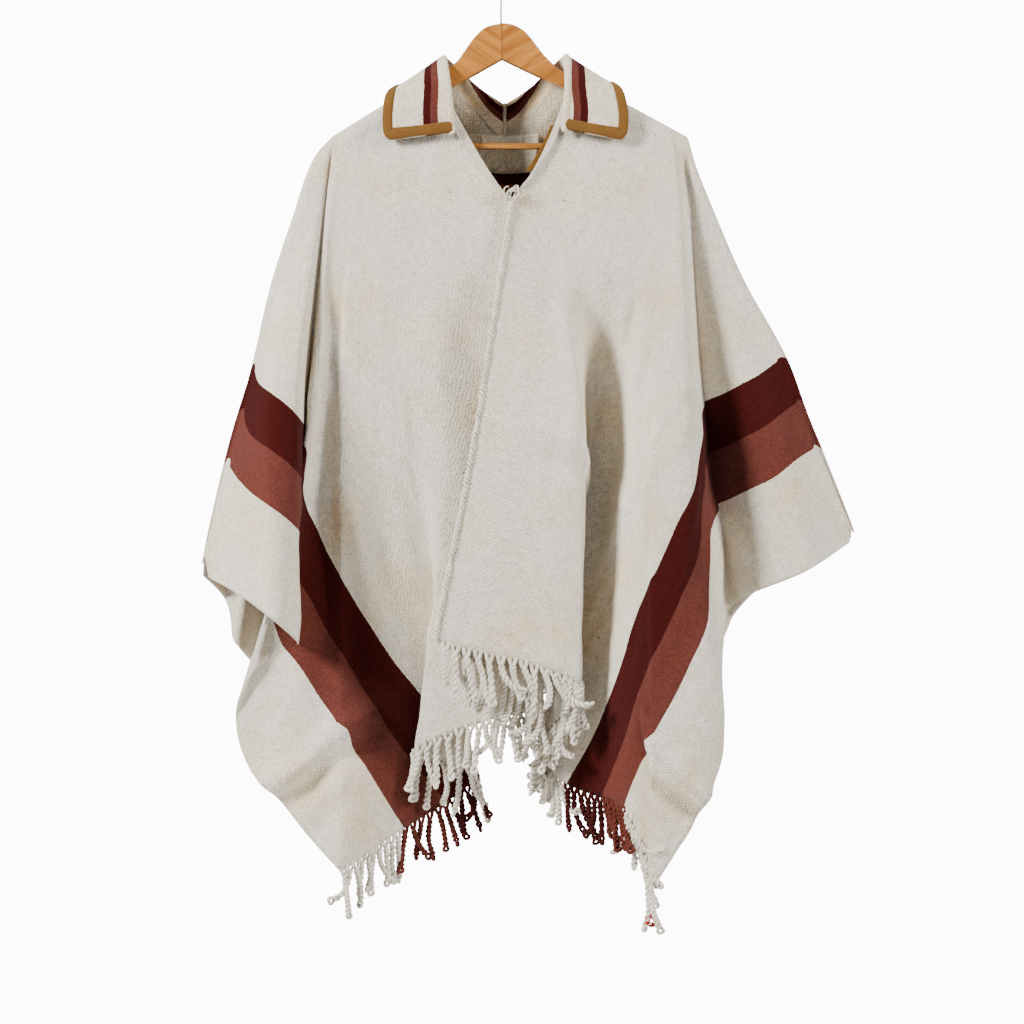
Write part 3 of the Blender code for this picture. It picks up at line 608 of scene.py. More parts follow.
def make_weave():
    tree, given, result = start_group(
        "woven_wool", {"Colour": "Color", "Place": "Vector", "Yellowing": "Float"},
        {"Colour": "Color", "Height": "Float"})
    place = given["Place"]
    wander = add_node(tree, "TexNoise", {"Vector": place, "Scale": 105.0, "Detail": 3.0})
    shift = stretch(tree, wander.outputs["Color"], (0.0075,) * 3)
    moved = add_node(tree, "VectorMath", {0: place, 1: shift}, operation="ADD").outputs[0]
    turns = stretch(tree, moved, (math.pi / THREAD, math.pi / THREAD, 1.0))
    part = add_node(tree, "SeparateXYZ", {0: turns})
    over = math_node(tree, "MULTIPLY", math_node(tree, "SINE", part.outputs[0]),
                     math_node(tree, "SINE", part.outputs[1]))
    nubs = add_node(tree, "TexVoronoi", {"Vector": place, "Scale": 330.0},
                    feature="SMOOTH_F1").outputs["Distance"]
    weave = math_node(tree, "MULTIPLY_ADD", over, 0.26, noise_at(tree, place, 760.0, 3.0, 0.7))
    knotty = math_node(tree, "MULTIPLY_ADD", nubs, -0.75, weave)
    height = math_node(tree, "MULTIPLY_ADD", noise_at(tree, place, 90.0), 0.60, knotty)
    tree.links.new(height, result["Height"])
    # Painted shade and highlight: the colour follows the height, darker in the weave's hollows and
    # lighter on its tops. The slow noise in the height also varies the tone at random.
    shaded = shade(tree, given["Colour"], remap(tree, height, 0.0, 0.9, 0.66, 1.12))
    patch = remap(tree, noise_at(tree, place, 8.0, 4.0, 0.62), 0.47, 0.66)
    old = math_node(tree, "MULTIPLY", patch, given["Yellowing"])
    aged = mix_colors(tree, old, shaded, (1.0, 0.80, 0.47, 1.0), "MULTIPLY")
    fleck = add_node(tree, "TexVoronoi", {"Vector": place, "Scale": 42.0}).outputs["Distance"]
    spot = math_node(tree, "MULTIPLY", math_node(tree, "LESS_THAN", fleck, 0.060),
                     math_node(tree, "GREATER_THAN", noise_at(tree, place, 31.0), 0.57))
    flecked = mix_colors(tree, math_node(tree, "MULTIPLY", spot, 0.7), aged,
                         (0.13, 0.08, 0.05, 1.0))
    tree.links.new(flecked, result["Colour"])
    return tree


weave_group = make_weave()
print("weave group:", len(weave_group.nodes), "nodes")

# %% [markdown]
# ## Stripes
# Two bands run the whole length of each half, near its side edge: a maroon one and a rose
# one.  A colour ramp with constant steps, read across the strip, paints them on the cloth.

# %% Wool materials
CREAM = (0.76, 0.69, 0.57, 1.0)
WARM_CREAM = (0.80, 0.68, 0.50, 1.0)
MAROON = (0.044, 0.0022, 0.0010, 1.0)
ROSE = (0.118, 0.029, 0.021, 1.0)
OCHRE = (0.175, 0.074, 0.011, 1.0)


def striped_wool(name, bands, span, yellowing=0.5, axis=0, depth=0.0011):
    """Woven wool whose colour steps at each band, read along one axis of the UV map."""
    mat, tree, shader = start_material(name, 0.95, Sheen_Weight=0.03, Sheen_Roughness=0.6,
                                       Specular_IOR_Level=0.06)
    place = add_node(tree, "UVMap", uv_map="cloth").outputs[0]
    part = add_node(tree, "SeparateXYZ", {0: place})
    edge = math_node(tree, "MULTIPLY_ADD", noise_at(tree, place, 260.0), 0.0016,
                     part.outputs[axis])
    ramp = add_node(tree, "ValToRGB", {0: math_node(tree, "DIVIDE", edge, span)})
    ramp.color_ramp.interpolation = "CONSTANT"
    stops = ramp.color_ramp.elements
    while len(stops) < len(bands):
        stops.new(0.5)
    for stop, (start, color) in zip(stops, bands):
        stop.position = start / span
        stop.color = color
    wool = use_group(tree, weave_group, {"Colour": ramp.outputs[0], "Place": place,
                                         "Yellowing": yellowing})
    tree.links.new(wool["Colour"], shader.inputs["Base Color"])
    bump(tree, shader, wool["Height"], depth)
    return mat


BODY_BANDS = ((0.0, CREAM), (0.497, MAROON), (0.561, ROSE), (0.625, CREAM))
body_wool = striped_wool("striped_body_wool", BODY_BANDS, 1.0)
for half in halves.values():
    half.data.materials.append(body_wool)

# %% [markdown]
# ## Twisted strands
# The fringe is the warp itself, twisted into cords.  Each strand is one yarn that goes
# down, turns back in a small loop and comes up again, wound round itself.  A curve with a
# round bevel is the quickest way to sweep a yarn along such a path, and one curve object
# can hold a whole row of them; it is then made a mesh.

# %% The yarn's colour and bump, with painted shade on the fibres
def make_spun():
    tree, given, result = start_group("spun_yarn", {"Colour": "Color", "Place": "Vector"},
                                      {"Colour": "Color", "Height": "Float"})
    fibre = noise_at(tree, given["Place"], 750.0, 3.0, 0.7)
    tone = noise_at(tree, given["Place"], 60.0)
    # Painted shade: the yarn is darker where the fibre noise, which is also its bump, is low.
    lit = shade(tree, given["Colour"], remap(tree, fibre, 0.3, 0.7, 0.72, 1.08))
    worn = shade(tree, lit, remap(tree, tone, 0.35, 0.7, 0.80, 1.04))
    tree.links.new(worn, result["Colour"])
    tree.links.new(fibre, result["Height"])
    return tree


spun_group = make_spun()


def yarn_material(name, color):
    mat, tree, shader = start_material(name, 0.9, Sheen_Weight=0.05, Sheen_Roughness=0.5,
                                       Specular_IOR_Level=0.1)
    place = add_node(tree, "TexCoord").outputs["Object"]
    yarn = use_group(tree, spun_group, {"Colour": color, "Place": place})
    tree.links.new(yarn["Colour"], shader.inputs["Base Color"])
    bump(tree, shader, yarn["Height"], 0.0008)
    return mat


yarns = {"cream": yarn_material("cream_yarn", (0.84, 0.765, 0.63, 1.0)),
         "maroon": yarn_material("maroon_yarn", (0.048, 0.0030, 0.0016, 1.0)),
         "rose": yarn_material("rose_yarn", (0.12, 0.024, 0.014, 1.0)),
         "ochre": yarn_material("ochre_yarn", OCHRE),
         "red": yarn_material("red_thread", (0.50, 0.015, 0.012, 1.0))}
YARN_ORDER = ("cream", "maroon", "rose")


# %% Curves to meshes
def mesh_from_paths(name, paths, radius, sides=2, materials=("cream",), lumpy=True):
    """Sweep a round yarn along each path of points; a path is (points, material number)."""
    curve = bpy.data.curves.new(name, "CURVE")
    curve.dimensions = "3D"
    curve.bevel_depth = radius
    curve.bevel_resolution = sides
    curve.use_fill_caps = True
    for kind in materials:
        curve.materials.append(yarns[kind])
    for points, number in paths:
        spline = curve.splines.new("POLY")
        spline.points.add(len(points) - 1)
        spline.points.foreach_set("co", np.hstack([points, np.ones((len(points), 1))]).ravel())
        spline.material_index = number
        spline.use_smooth = True
        lumps = [1 + 0.22 * noise.noise(Vector(place) * 160) for place in points]
        spline.points.foreach_set("radius", lumps if lumpy else [1.0] * len(points))
    swept = bpy.data.objects.new(name + "_path", curve)
    mesh = bpy.data.meshes.new_from_object(swept)
    mesh.name = name
    bpy.data.objects.remove(swept)
    bpy.data.curves.remove(curve)
    return add_object(name, mesh)


# %% One strand
STRAND_PITCH = 0.0118      # from one strand to the next along the hem
STRAND_REACH = 0.055       # from the hem to the loop
PLY = 0.0022               # radius of the yarn
PLY_APART = 0.0019         # the two plies wind round each other at this radius
STRAND_STEPS = 32


def unit(vector):
    return vector / np.linalg.norm(vector)


def strand(top, way, across, reach, lean, curl, swing, turns, draw, seed):
    """The path of one yarn: down, round its loop and up again, twisted round itself."""
    out = unit(np.cross(way, across))
    step = reach / STRAND_STEPS
    centre, frames, place = [], [], top - way * 0.003
    for i in range(STRAND_STEPS + 1):
        share = i / STRAND_STEPS
        stray = noise.noise_vector(Vector((seed, share * 2.2, 0.5)))
        angle = lean * min(share * 3, 1.0) + curl * share ** 2 + 0.7 * stray.x * share
        tip = swing * share ** 1.5 + 0.5 * stray.y * share
        heading = unit(way * math.cos(angle) + across * math.sin(angle) + out * math.sin(tip)
                       + np.array((0.0, 0.0, -0.55)) * share)
        side_way = unit(across - heading * np.dot(across, heading))
        centre.append(place.copy())
        frames.append((heading, side_way, np.cross(heading, side_way)))
        place = place + heading * step
    plies = ([], [])
    for i, (point, (heading, side_way, face_way)) in enumerate(zip(centre, frames)):
        share = i / STRAND_STEPS
        spread = PLY_APART * (1 + 0.25 * noise.noise(Vector((seed, share * 5, 3.3))))
        spread += 0.0026 * max(1 - share * 6, 0.0) + 0.0009 * max(share * 4 - 3, 0.0)
        turn = 2 * math.pi * turns * max(share - 0.14, 0.0)
        offset = side_way * math.cos(turn) + face_way * math.sin(turn)
        plies[0].append(point + offset * spread)
        plies[1].append(point - offset * spread)
    loop = []
    for k in range(1, 6):
        angle = math.pi * k / 6
        loop.append(centre[-1] + offset * spread * math.cos(angle) * (1 + draw * math.sin(angle))
                    + heading * 0.0045 * math.sin(angle))
    return np.array(plies[0] + loop + plies[1][::-1])


# %% The four fringes
FRINGE_START = 0.03        # the left front fringe starts this far from the lapped seam
FRINGE_END = 0.008
STRAND_LEAN = 0.30         # of the lapping half, whose strands are brushed to one side


def band_of(out):
    return 1 if 0.497 <= out < 0.561 else 2 if 0.561 <= out < 0.625 else 0


def fringe(side, behind):
    chance = random.Random("%s %s" % (side, behind))
    start = FRINGE_START if side == "left" and not behind else FRINGE_END
    count = round((STRIP_WIDTH - start) / STRAND_PITCH)
    lean = STRAND_LEAN if side == "right" and not behind else 0.0
    paths = []
    for i in range(count):
        reach = start + (STRIP_WIDTH - start) * (i + 0.5) / count
        column = cloth_column(side, behind, reach, (0.96, 1.0))[0]
        beside = cloth_column(side, behind, reach + 0.004, 1.0)[0][0]
        way = unit(column[1] - column[0])
        across = beside - column[1]
        across = unit(across - way * np.dot(across, way))
        curl = chance.uniform(-0.5, 0.5)
        if chance.random() < 0.28:
            curl = chance.choice((-1, 1)) * chance.uniform(0.9, 2.3)
        path = strand(column[1], way, across, STRAND_REACH * chance.uniform(0.84, 1.12),
                      chance.uniform(-0.30, 0.30) + lean, curl, chance.uniform(-0.4, 0.4),
                      chance.uniform(3.4, 5.4), chance.uniform(0.2, 1.4), 9.7 * i + len(paths))
        paths.append((path, band_of(reach)))
    name = "fringe_%s_%s" % ("back" if behind else "front", side)
    made = mesh_from_paths("strands_" + name, paths, PLY, materials=YARN_ORDER)
    return settle(made, name)


fringes = {(side, behind): fringe(side, behind) for side in SIDES for behind in (False, True)}

# %% [markdown]
# ## The seam down the centre
# The halves are joined with a thick overcast seam that stands up like a rope, so a twisted
# pair of yarns laid along the lapped edge is its true shape.

# %% Ropes along an edge
SEAM_YARN = 0.0017         # radius of the seam's yarn
SEAM_APART = 0.0020        # how far from the rope's middle each yarn winds
SEAM_PITCH = 0.0105        # of one turn


def twisted_pair(points, outwards, apart, pitch, steps_a_turn=10):
    """Two yarns wound round each other along a line of points."""
    points = np.array(points)
    lengths = np.concatenate([[0], np.cumsum(np.linalg.norm(np.diff(points, axis=0), axis=1))])
    count = int(lengths[-1] / pitch * steps_a_turn)
    at = np.linspace(0, lengths[-1], count)
    line = np.stack([np.interp(at, lengths, points[:, k]) for k in range(3)], axis=1)
    tangent = np.gradient(line, axis=0)
    tangent /= np.linalg.norm(tangent, axis=1)[:, None]
    outwards = np.array(outwards, float)
    face = outwards - tangent * (tangent @ outwards)[:, None]
    face /= np.linalg.norm(face, axis=1)[:, None]
    beside = np.cross(tangent, face)
    drift = np.array([noise.noise(Vector((a * 70, 2.0, 0.0))) for a in at])
    turn = (2 * math.pi * at / pitch + 1.6 * drift)[:, None]
    offset = (beside * np.cos(turn) + face * np.sin(turn)) * apart * (1 + 0.5 * drift[:, None])
    line = line + beside * 0.0012 * drift[::-1, None]
    return [(line + offset, 0), (line - offset, 0)]


def seam_line(side, behind, low, high, lift, count=120):
    """Points along the centre edge of a half, raised off the cloth."""
    points = cloth_column(side, behind, 0.0, np.linspace(low, high, count) / STRIP_DROP)[0]
    return points + np.array((0.0, lift * (1 if behind else -1), 0.0))


def seam_rope(name, behind, low):
    line = seam_line("right", behind, low, STRIP_DROP, 0.0012)
    pair = twisted_pair(line, (0, 1 if behind else -1, 0), SEAM_APART, SEAM_PITCH)
    return settle(mesh_from_paths(name, pair, SEAM_YARN))


seam_front = seam_rope("seam_front", False, SLIT_FRONT - 0.006)
seam_back = seam_rope("seam_back", True, SLIT_BACK)

# %% [markdown]
# ## The collar
# The collar is a strip of the same wool in two halves.  It stands up from the neck, folds
# over and lies down as a leaf.  The front corner of the leaf is round: the corner of the
# grid is pushed onto a quarter circle before it goes to its place.

# %% Collar lines: along, top of the fold x, y, z, outer edge x, y, z
COLLAR_ROLL = 0.0032       # radius of the round fold
COLLAR_FRONT = 0.080       # how far in front of the shoulder line the collar begins
COLLAR = {
    "left": (
        (0.0, -0.0568, -0.027, -0.21, -0.145, -0.025, -0.2185),
        (0.022, -0.0585, -0.029, -0.182, -0.147, -0.026, -0.1925),
        (0.048, -0.062, -0.025, -0.146, -0.1445, -0.022, -0.165),
        (0.08, -0.0675, 0.001, -0.11, -0.1345, 0.001, -0.152),
        (0.112, -0.052, 0.031, -0.119, -0.113, 0.052, -0.156),
        (0.15, -0.03, 0.056, -0.136, -0.062, 0.084, -0.17),
        (0.196, 0.0032, 0.064, -0.158, 0.0028, 0.084, -0.199),
    ),
    "right": (
        (0.0, 0.0755, -0.027, -0.2075, 0.1555, -0.025, -0.219),
        (0.022, 0.077, -0.029, -0.1805, 0.1585, -0.026, -0.1925),
        (0.048, 0.0793, -0.025, -0.1455, 0.1548, -0.022, -0.164),
        (0.08, 0.0775, 0.001, -0.107, 0.144, 0.001, -0.148),
        (0.112, 0.062, 0.031, -0.117, 0.122, 0.052, -0.153),
        (0.15, 0.039, 0.056, -0.136, 0.071, 0.084, -0.168),
        (0.196, 0.0058, 0.064, -0.158, 0.0062, 0.084, -0.199),
    ),
}


def neck_seam(side, along):
    """Where the collar is sewn: just outside the slit's edge, one row for each place."""
    down = COLLAR_FRONT - np.asarray(along)
    turn = np.minimum(np.abs(down) / SHOULDER_ROLL, math.pi / 2)
    front = cloth_column(side, False, 0.0, np.clip(down, 0, None) / STRIP_DROP)[0]
    back = cloth_column(side, True, 0.0, np.clip(-down, 0, None) / STRIP_DROP)[0]
    behind = down < 0
    out = np.stack([np.zeros_like(turn), np.where(behind, 1, -1) * np.sin(turn), np.cos(turn)],
                   axis=1)
    return np.where(behind[:, None], back, front) + out * (1.3 * CLOTH + GAP)


def rows_of(vectors):
    return vectors / np.linalg.norm(vectors, axis=1)[:, None]


def collar_lines(side, along):
    """Seam, both ends of the round fold, its bulge, and the outer edge, at each place."""
    along = np.atleast_1d(np.asarray(along, float))
    rows = np.array(COLLAR[side])
    row = through(rows[:, 0], rows[:, 1:], along)
    foot, fold, edge = neck_seam(side, along), row[:, :3], row[:, 3:]
    leaf, stand = rows_of(edge - fold), rows_of(fold - foot)
    out = rows_of(leaf - stand * (leaf * stand).sum(1)[:, None])
    inner = fold - stand * COLLAR_ROLL
    return foot, inner, inner + out * 2 * COLLAR_ROLL, out, stand, edge


def leaf_points(side, along, from_edge, lift):
    """Places on the leaf by their distance from the outer edge, raised by lift."""
    def flat(place):
        lines = collar_lines(side, place)
        outer, edge = lines[2], lines[5]
        return edge + rows_of(outer - edge) * from_edge[:, None]
    ahead = flat(along + 0.002) - flat(along)
    lines = collar_lines(side, along)
    normal = np.cross(ahead, lines[5] - lines[2]) * (1 if side == "left" else -1)
    return flat(along) + rows_of(normal) * np.asarray(lift)[:, None]


# %% The collar's halves
COLLAR_COLUMNS = 70
LEAF_ROWS = 30
CORNER = 0.011             # radius of the leaf's front corner


def round_corner(along, from_edge):
    """Push the square front corner of the leaf onto a quarter circle."""
    first, second = CORNER - along, CORNER - from_edge
    in_corner = (first > 0) & (second > 0)
    far = np.maximum(first, second)
    size = np.maximum(np.hypot(first, second), 1e-9)
    return (np.where(in_corner, CORNER - first / size * far, along),
            np.where(in_corner, CORNER - second / size * far, from_edge))


def collar_half(side):
    length = COLLAR[side][-1][0]
    alongs = np.concatenate([np.linspace(0, CORNER, 9),
                             np.linspace(CORNER, length, COLLAR_COLUMNS)[1:]])
    foot, inner, outer, out, stand, edge = collar_lines(side, alongs)
    widths = np.linalg.norm(outer - edge, axis=1)
    columns, flats = [], []
    for i, along in enumerate(alongs):
        near = np.concatenate([np.linspace(0, CORNER, 9),
                               np.linspace(CORNER, widths[i], LEAF_ROWS)[1:]])
        places, from_edge = round_corner(np.full(len(near), along), near)
        wave = 0.0011 * np.sin(places * 61 + 1.3) * np.sin(from_edge * 38)
        leaf = leaf_points(side, places, from_edge, wave)
        angles = np.linspace(0, math.pi, 9)[1:-1]
        middle = (inner[i] + outer[i]) / 2
        roll = [middle + out[i] * COLLAR_ROLL * math.cos(a) + stand[i] * COLLAR_ROLL * math.sin(a)
                for a in angles]
        up = [inner[i] * (1 - u) + foot[i] * u for u in np.linspace(0, 1, 12)]
        column = np.vstack([leaf, roll, up])
        across = np.concatenate([[0], np.cumsum(np.linalg.norm(np.diff(column, axis=0), axis=1))])
        columns.append(column)
        flats.append(np.stack([np.full(len(across), along), across], axis=1))
    return sheet_from_grid("collar_leaf_" + side, np.array(columns), np.array(flats), CLOTH)


COLLAR_BANDS = ((0.0, WARM_CREAM), (0.0515, MAROON), (0.0602, ROSE), (0.0700, WARM_CREAM))
collar_wool = striped_wool("striped_collar_wool", COLLAR_BANDS, 0.2, yellowing=0.75, axis=1)
collars = {side: settle(collar_half(side), "collar_" + side) for side in SIDES}
for collar in collars.values():
    collar.data.materials.append(collar_wool)

# %% The seam where the collar's halves meet
MITRE_PROUD = 0.001        # the rope stands this far off the cloth
ends = [collar_lines(side, COLLAR[side][-1][0]) for side in SIDES]
foot, inner, outer, out, stand, edge = [(a[0] + b[0]) / 2 for a, b in zip(*ends)]
over = (inner + outer) / 2 + stand * (COLLAR_ROLL + MITRE_PROUD)
off = out * MITRE_PROUD
mitre = [foot - stand * 0.009 - off, foot - off, inner - off, over, outer + off,
         (outer + edge) / 2 + off, edge + off]
collar_seam = settle(mesh_from_paths(
    "collar_seam", twisted_pair(mitre, (0.0, 0.3, 1.0), 0.0012, 0.0062), 0.0013))

# %% [markdown]
# ## The braid on the collar
# An ochre braid wraps the outer edge and front ends of the collar.  It is a soft flat tube:
# a grid rolled round the edge line, with its two long sides merged.

# %% A tube round the collar's edge
BRAID_HALF = 0.0066        # half its width
BRAID_SOFT = 0.0034        # how far it stands proud of the leaf on each side
BRAID_AROUND = 18


def braid_half(side):
    length = COLLAR[side][-1][0]
    inset = BRAID_HALF
    top = np.linalg.norm(np.subtract(*[collar_lines(side, 0.0)[k][0] for k in (2, 5)]))
    arc = CORNER - inset
    line = [(inset, w, (1, 0)) for w in np.linspace(top + 0.0040, CORNER, 40)[:-1]]
    for angle in np.linspace(0, math.pi / 2, 12):
        line.append((CORNER - arc * math.cos(angle), CORNER - arc * math.sin(angle),
                     (math.cos(angle), math.sin(angle))))
    line += [(a, inset, (0, 1)) for a in np.linspace(CORNER, length - 0.0004, 90)[1:]]
    columns, flats, run = [], [], 0.0
    for k, (along, from_edge, inwards) in enumerate(line):
        if k:
            run += math.hypot(along - line[k - 1][0], from_edge - line[k - 1][1])
        turns = np.linspace(0, 2 * math.pi, BRAID_AROUND + 1)
        near = BRAID_HALF * np.sign(np.cos(turns)) * np.abs(np.cos(turns)) ** 0.8
        high = BRAID_SOFT * np.sign(np.sin(turns)) * np.abs(np.sin(turns)) ** 0.75
        columns.append(leaf_points(side, along + inwards[0] * near, from_edge + inwards[1] * near,
                                   high))
        flats.append(np.stack([np.full(len(turns), run), turns / (2 * math.pi) * 0.032], axis=1))
    made = sheet_from_grid("braid_" + side, np.array(columns), np.array(flats), 0.0)
    made.modifiers.clear()
    return made


def braid_material():
    mat, tree, shader = start_material("ochre_braid", 0.85, Sheen_Weight=0.06,
                                       Sheen_Roughness=0.5, Specular_IOR_Level=0.2)
    place = add_node(tree, "UVMap", uv_map="cloth").outputs[0]
    part = add_node(tree, "SeparateXYZ", {0: place}).outputs
    ribs, rows = (math_node(tree, "SINE", math_node(tree, "MULTIPLY", part[k], 2 * math.pi / apart))
                  for k, apart in ((0, 0.0016), (1, 0.0021)))
    knit = math_node(tree, "MULTIPLY_ADD", math_node(tree, "MULTIPLY", ribs, rows), 0.3,
                     noise_at(tree, place, 500.0, 3.0))
    worn = mix_colors(tree, noise_at(tree, place, 45.0), (0.115, 0.047, 0.006, 1.0),
                      (0.205, 0.090, 0.012, 1.0))
    # Painted shade and highlight: the colour follows the knit's height, darker in its hollows and
    # lighter on its ribs. The two ochres mixed by noise are the braid's own tone.
    tree.links.new(shade(tree, worn, remap(tree, knit, 0.2, 0.8, 0.75, 1.1)),
                   shader.inputs["Base Color"])
    bump(tree, shader, knit, 0.0006)
    return mat


ochre_braid = braid_material()
braids = {side: settle(braid_half(side), "binding_" + side) for side in SIDES}
for braid in braids.values():
    braid.data.materials.append(ochre_braid)

# %% [markdown]
# ## Inside the neck
# Through the neck one sees a facing with a maroon and an ochre band, a bare cloth label,
# and a tape sewn behind the slit.  They are small sheets on the inside of the back.

# %% Facing, label and tape
INSIDE_X, INSIDE_Z = 0.0043, -0.209   # the middle of the back's inner face, at the top
FACING_TOP, FACING_TALL = -0.199, 0.087
FACING_WIDE, FACING_TAPER = 0.090, 0.030
LABEL_X, LABEL_TOP = 0.0010, -0.2010
LABEL_WIDE, LABEL_TALL = 0.052, 0.016
TAPE_HALF = 0.0045         # half its width
TAPE_BEHIND = 0.0045       # behind the middle of the cloth
TAPE_CLEAR = 0.0030        # inwards from the slit's edge
TAPE_FROM, TAPE_TO = 0.084, 0.150     # down the slit's edge


def back_face(x, z, proud):
    depth = 0.0565 + 0.012 * (INSIDE_Z - z)
    return (x, depth - proud - abs(x - INSIDE_X) * 0.30, z)


def neck_facing():
    columns, flats = [], []
    downs = np.linspace(0, 1, 41)
    for across in np.linspace(-0.5, 0.5, 49):
        wide = (FACING_WIDE - FACING_TAPER * downs) * across
        pucker = [0.0012 * noise.noise(Vector((across * 14, down * 3, 4.2))) for down in downs]
        columns.append([back_face(INSIDE_X + x, FACING_TOP - FACING_TALL * down, 0.0050 + more)
                        for x, down, more in zip(wide, downs, pucker)])
        flats.append(np.stack([wide, FACING_TALL * downs], axis=1))
    return sheet_from_grid("facing", np.array(columns), np.array(flats), 0.0015)


def neck_label():
    across, down = np.linspace(-LABEL_WIDE / 2, LABEL_WIDE / 2, 25), np.linspace(0, LABEL_TALL, 9)
    columns = [[back_face(LABEL_X + x, LABEL_TOP - z, 0.0075) for z in down] for x in across]
    flats = [[(x, z) for z in down] for x in across]
    return sheet_from_grid("label", np.array(columns), np.array(flats), 0.0012)


def slit_tape():
    columns, flats = [], []
    sides = np.linspace(-1, 1, 9)
    downs = np.linspace(TAPE_FROM, TAPE_TO, 50)
    edge = cloth_column("right", False, 0.0, downs / STRIP_DROP)[0]
    for down, place in zip(downs, edge):
        end = min((TAPE_TO - down) / TAPE_HALF, 1.0)
        half_width = TAPE_HALF * math.sqrt(max(1 - (1 - end) ** 2, 0.0004))
        columns.append([place + np.array((half_width * u - TAPE_CLEAR - TAPE_HALF, TAPE_BEHIND, 0))
                        for u in sides])
        flats.append([(half_width * u, down) for u in sides])
    return sheet_from_grid("tape", np.array(columns), np.array(flats), 0.0016)


FACING_BANDS = ((0.0, (0.70, 0.60, 0.43, 1.0)), (0.050, MAROON), (0.064, OCHRE))
LABEL_BANDS = ((0.0, (0.86, 0.79, 0.62, 1.0)), (0.5, CREAM))
facing = settle(neck_facing(), "neck_facing")
facing.data.materials.append(striped_wool("facing_cloth", FACING_BANDS, 0.2, axis=1))
label = settle(neck_label(), "neck_label")
label.data.materials.append(striped_wool("label_cloth", LABEL_BANDS, 1.0, depth=0.0003))
tape = settle(slit_tape(), "slit_tape")
tape.data.materials.append(ochre_braid)

# %% [markdown]
# ## Small hand work
# A knot of white yarn closes the foot of the slit, overcast stitches guard its edges, and a
# red thread is tied round one strand at the corner.

# %% Slit stitches, knot and red thread
THREAD_RADIUS = 0.0008
slit_pairs = [twisted_pair(seam_line(side, False, top, SLIT_FRONT, 0.0006), (0, -1, 0), 0.0010,
                           0.0050) for side, top in (("left", 0.075), ("right", 0.080))]
slit_edges = settle(mesh_from_paths("slit_stitches", slit_pairs[0] + slit_pairs[1], 0.0009,
                                    sides=1))


def tangle(centre, size, count, seed, steps=26):
    """Loose loops of yarn round a centre."""
    chance = random.Random(seed)
    paths = []
    for _ in range(count):
        tilt = chance.uniform(0, math.pi)
        phase = chance.uniform(0, 2 * math.pi)
        wide, tall, deep = (size[k] * chance.uniform(0.5, 1.0) for k in range(3))
        lean = np.array([chance.uniform(-0.3, 0.3) * s for s in size])
        points = []
        for k in range(steps):
            u = 2 * math.pi * k / steps * 0.9 + phase
            x, z = wide * math.cos(u), tall * math.sin(u)
            points.append(centre + lean + np.array((x * math.cos(tilt) - z * math.sin(tilt),
                                                    deep * math.sin(2 * u + tilt),
                                                    x * math.sin(tilt) + z * math.cos(tilt))))
        paths.append((np.array(points), 0))
    return paths


knot = settle(mesh_from_paths("neck_knot", tangle(
    np.array((0.0150, -0.0300, -0.2850)), (0.0120, 0.0085, 0.0040), 8, "knots"), THREAD_RADIUS))
red_tie = settle(mesh_from_paths("red_tie", tangle(
    hem_corner + np.array((0.0, 0.0, -0.034)), (0.0085, 0.0060, 0.0055), 9, "red"), THREAD_RADIUS,
    sides=1, materials=("red",)))

# %% [markdown]

# %% [markdown]
# ## The hanger
# Two flat arms of varnished wood meet in a glued joint under the hook, and a thin round bar
# runs between them.  Each arm is an outline, pushed out to the wood's thickness, with its
# long edges rounded.

# %% Arms
WOOD_THICK = 0.014
WOOD_ROUND = 0.003
JOINT_X = 0.00125
ARM_TOP, ARM_UNDER = -0.0680, -0.1130
ARM = {
    "left": (
        (-0.0188, -0.0718), (-0.0313, -0.083), (-0.04, -0.0942), (-0.0475, -0.1055),
        (-0.056, -0.1175), (-0.0744, -0.1298), (-0.195, -0.2044), (-0.2, -0.211),
        (-0.197, -0.2285), (-0.1915, -0.2315), (-0.0613, -0.1474), (-0.034, -0.133),
    ),
    "right": (
        (0.015, -0.069), (0.03, -0.0775), (0.04, -0.0893), (0.0481, -0.1005),
        (0.0606, -0.1155), (0.0795, -0.1313), (0.215, -0.2056), (0.2205, -0.2125),
        (0.2175, -0.2285), (0.2125, -0.232), (0.0775, -0.148), (0.0425, -0.133),
    ),
}


def soften(points, cuts=2):
    """Cut the corners of a line of points, again and again, keeping its two ends."""
    for _ in range(cuts):
        cut = [points[0]]
        for (x, z), (far_x, far_z) in zip(points, points[1:]):
            cut += [(x * 0.75 + far_x * 0.25, z * 0.75 + far_z * 0.25),
                    (x * 0.25 + far_x * 0.75, z * 0.25 + far_z * 0.75)]
        points = cut + [points[-1]]
    return points


def wooden_arm(side):
    outline = soften([(JOINT_X, ARM_TOP)] + list(ARM[side]) + [(JOINT_X, ARM_UNDER)])
    bm = bmesh.new()
    bmesh.ops.create_circle(bm, cap_ends=True, segments=len(outline), radius=1.0)
    around = sorted(bm.verts, key=lambda v: math.atan2(v.co.y, v.co.x))
    for vert, (x, z) in zip(around, outline):
        vert.co = (x, -WOOD_THICK / 2, z)
    pushed = bmesh.ops.extrude_face_region(bm, geom=bm.faces[:])
    moved = [item for item in pushed["geom"] if isinstance(item, bmesh.types.BMVert)]
    bmesh.ops.translate(bm, verts=moved, vec=(0.0, WOOD_THICK, 0.0))
    bmesh.ops.recalc_face_normals(bm, faces=bm.faces)
    rims = [e for e in bm.edges if abs(e.verts[0].co.y - e.verts[1].co.y) < 1e-6
            and not all(abs(v.co.x - JOINT_X) < 1e-4 for v in e.verts)]
    bmesh.ops.bevel(bm, geom=rims, offset=WOOD_ROUND, affect="EDGES", segments=6, profile=0.5,
                    material=-1, clamp_overlap=True)
    return mesh_object("arm_" + side, bm, sharp=50)


# %% [markdown]
# ## Varnished wood
# The wood is a pale hardwood under honey-coloured varnish.  Its grain is noise pulled out
# long in the direction of each arm, and the varnish is the shader's own clear coat.

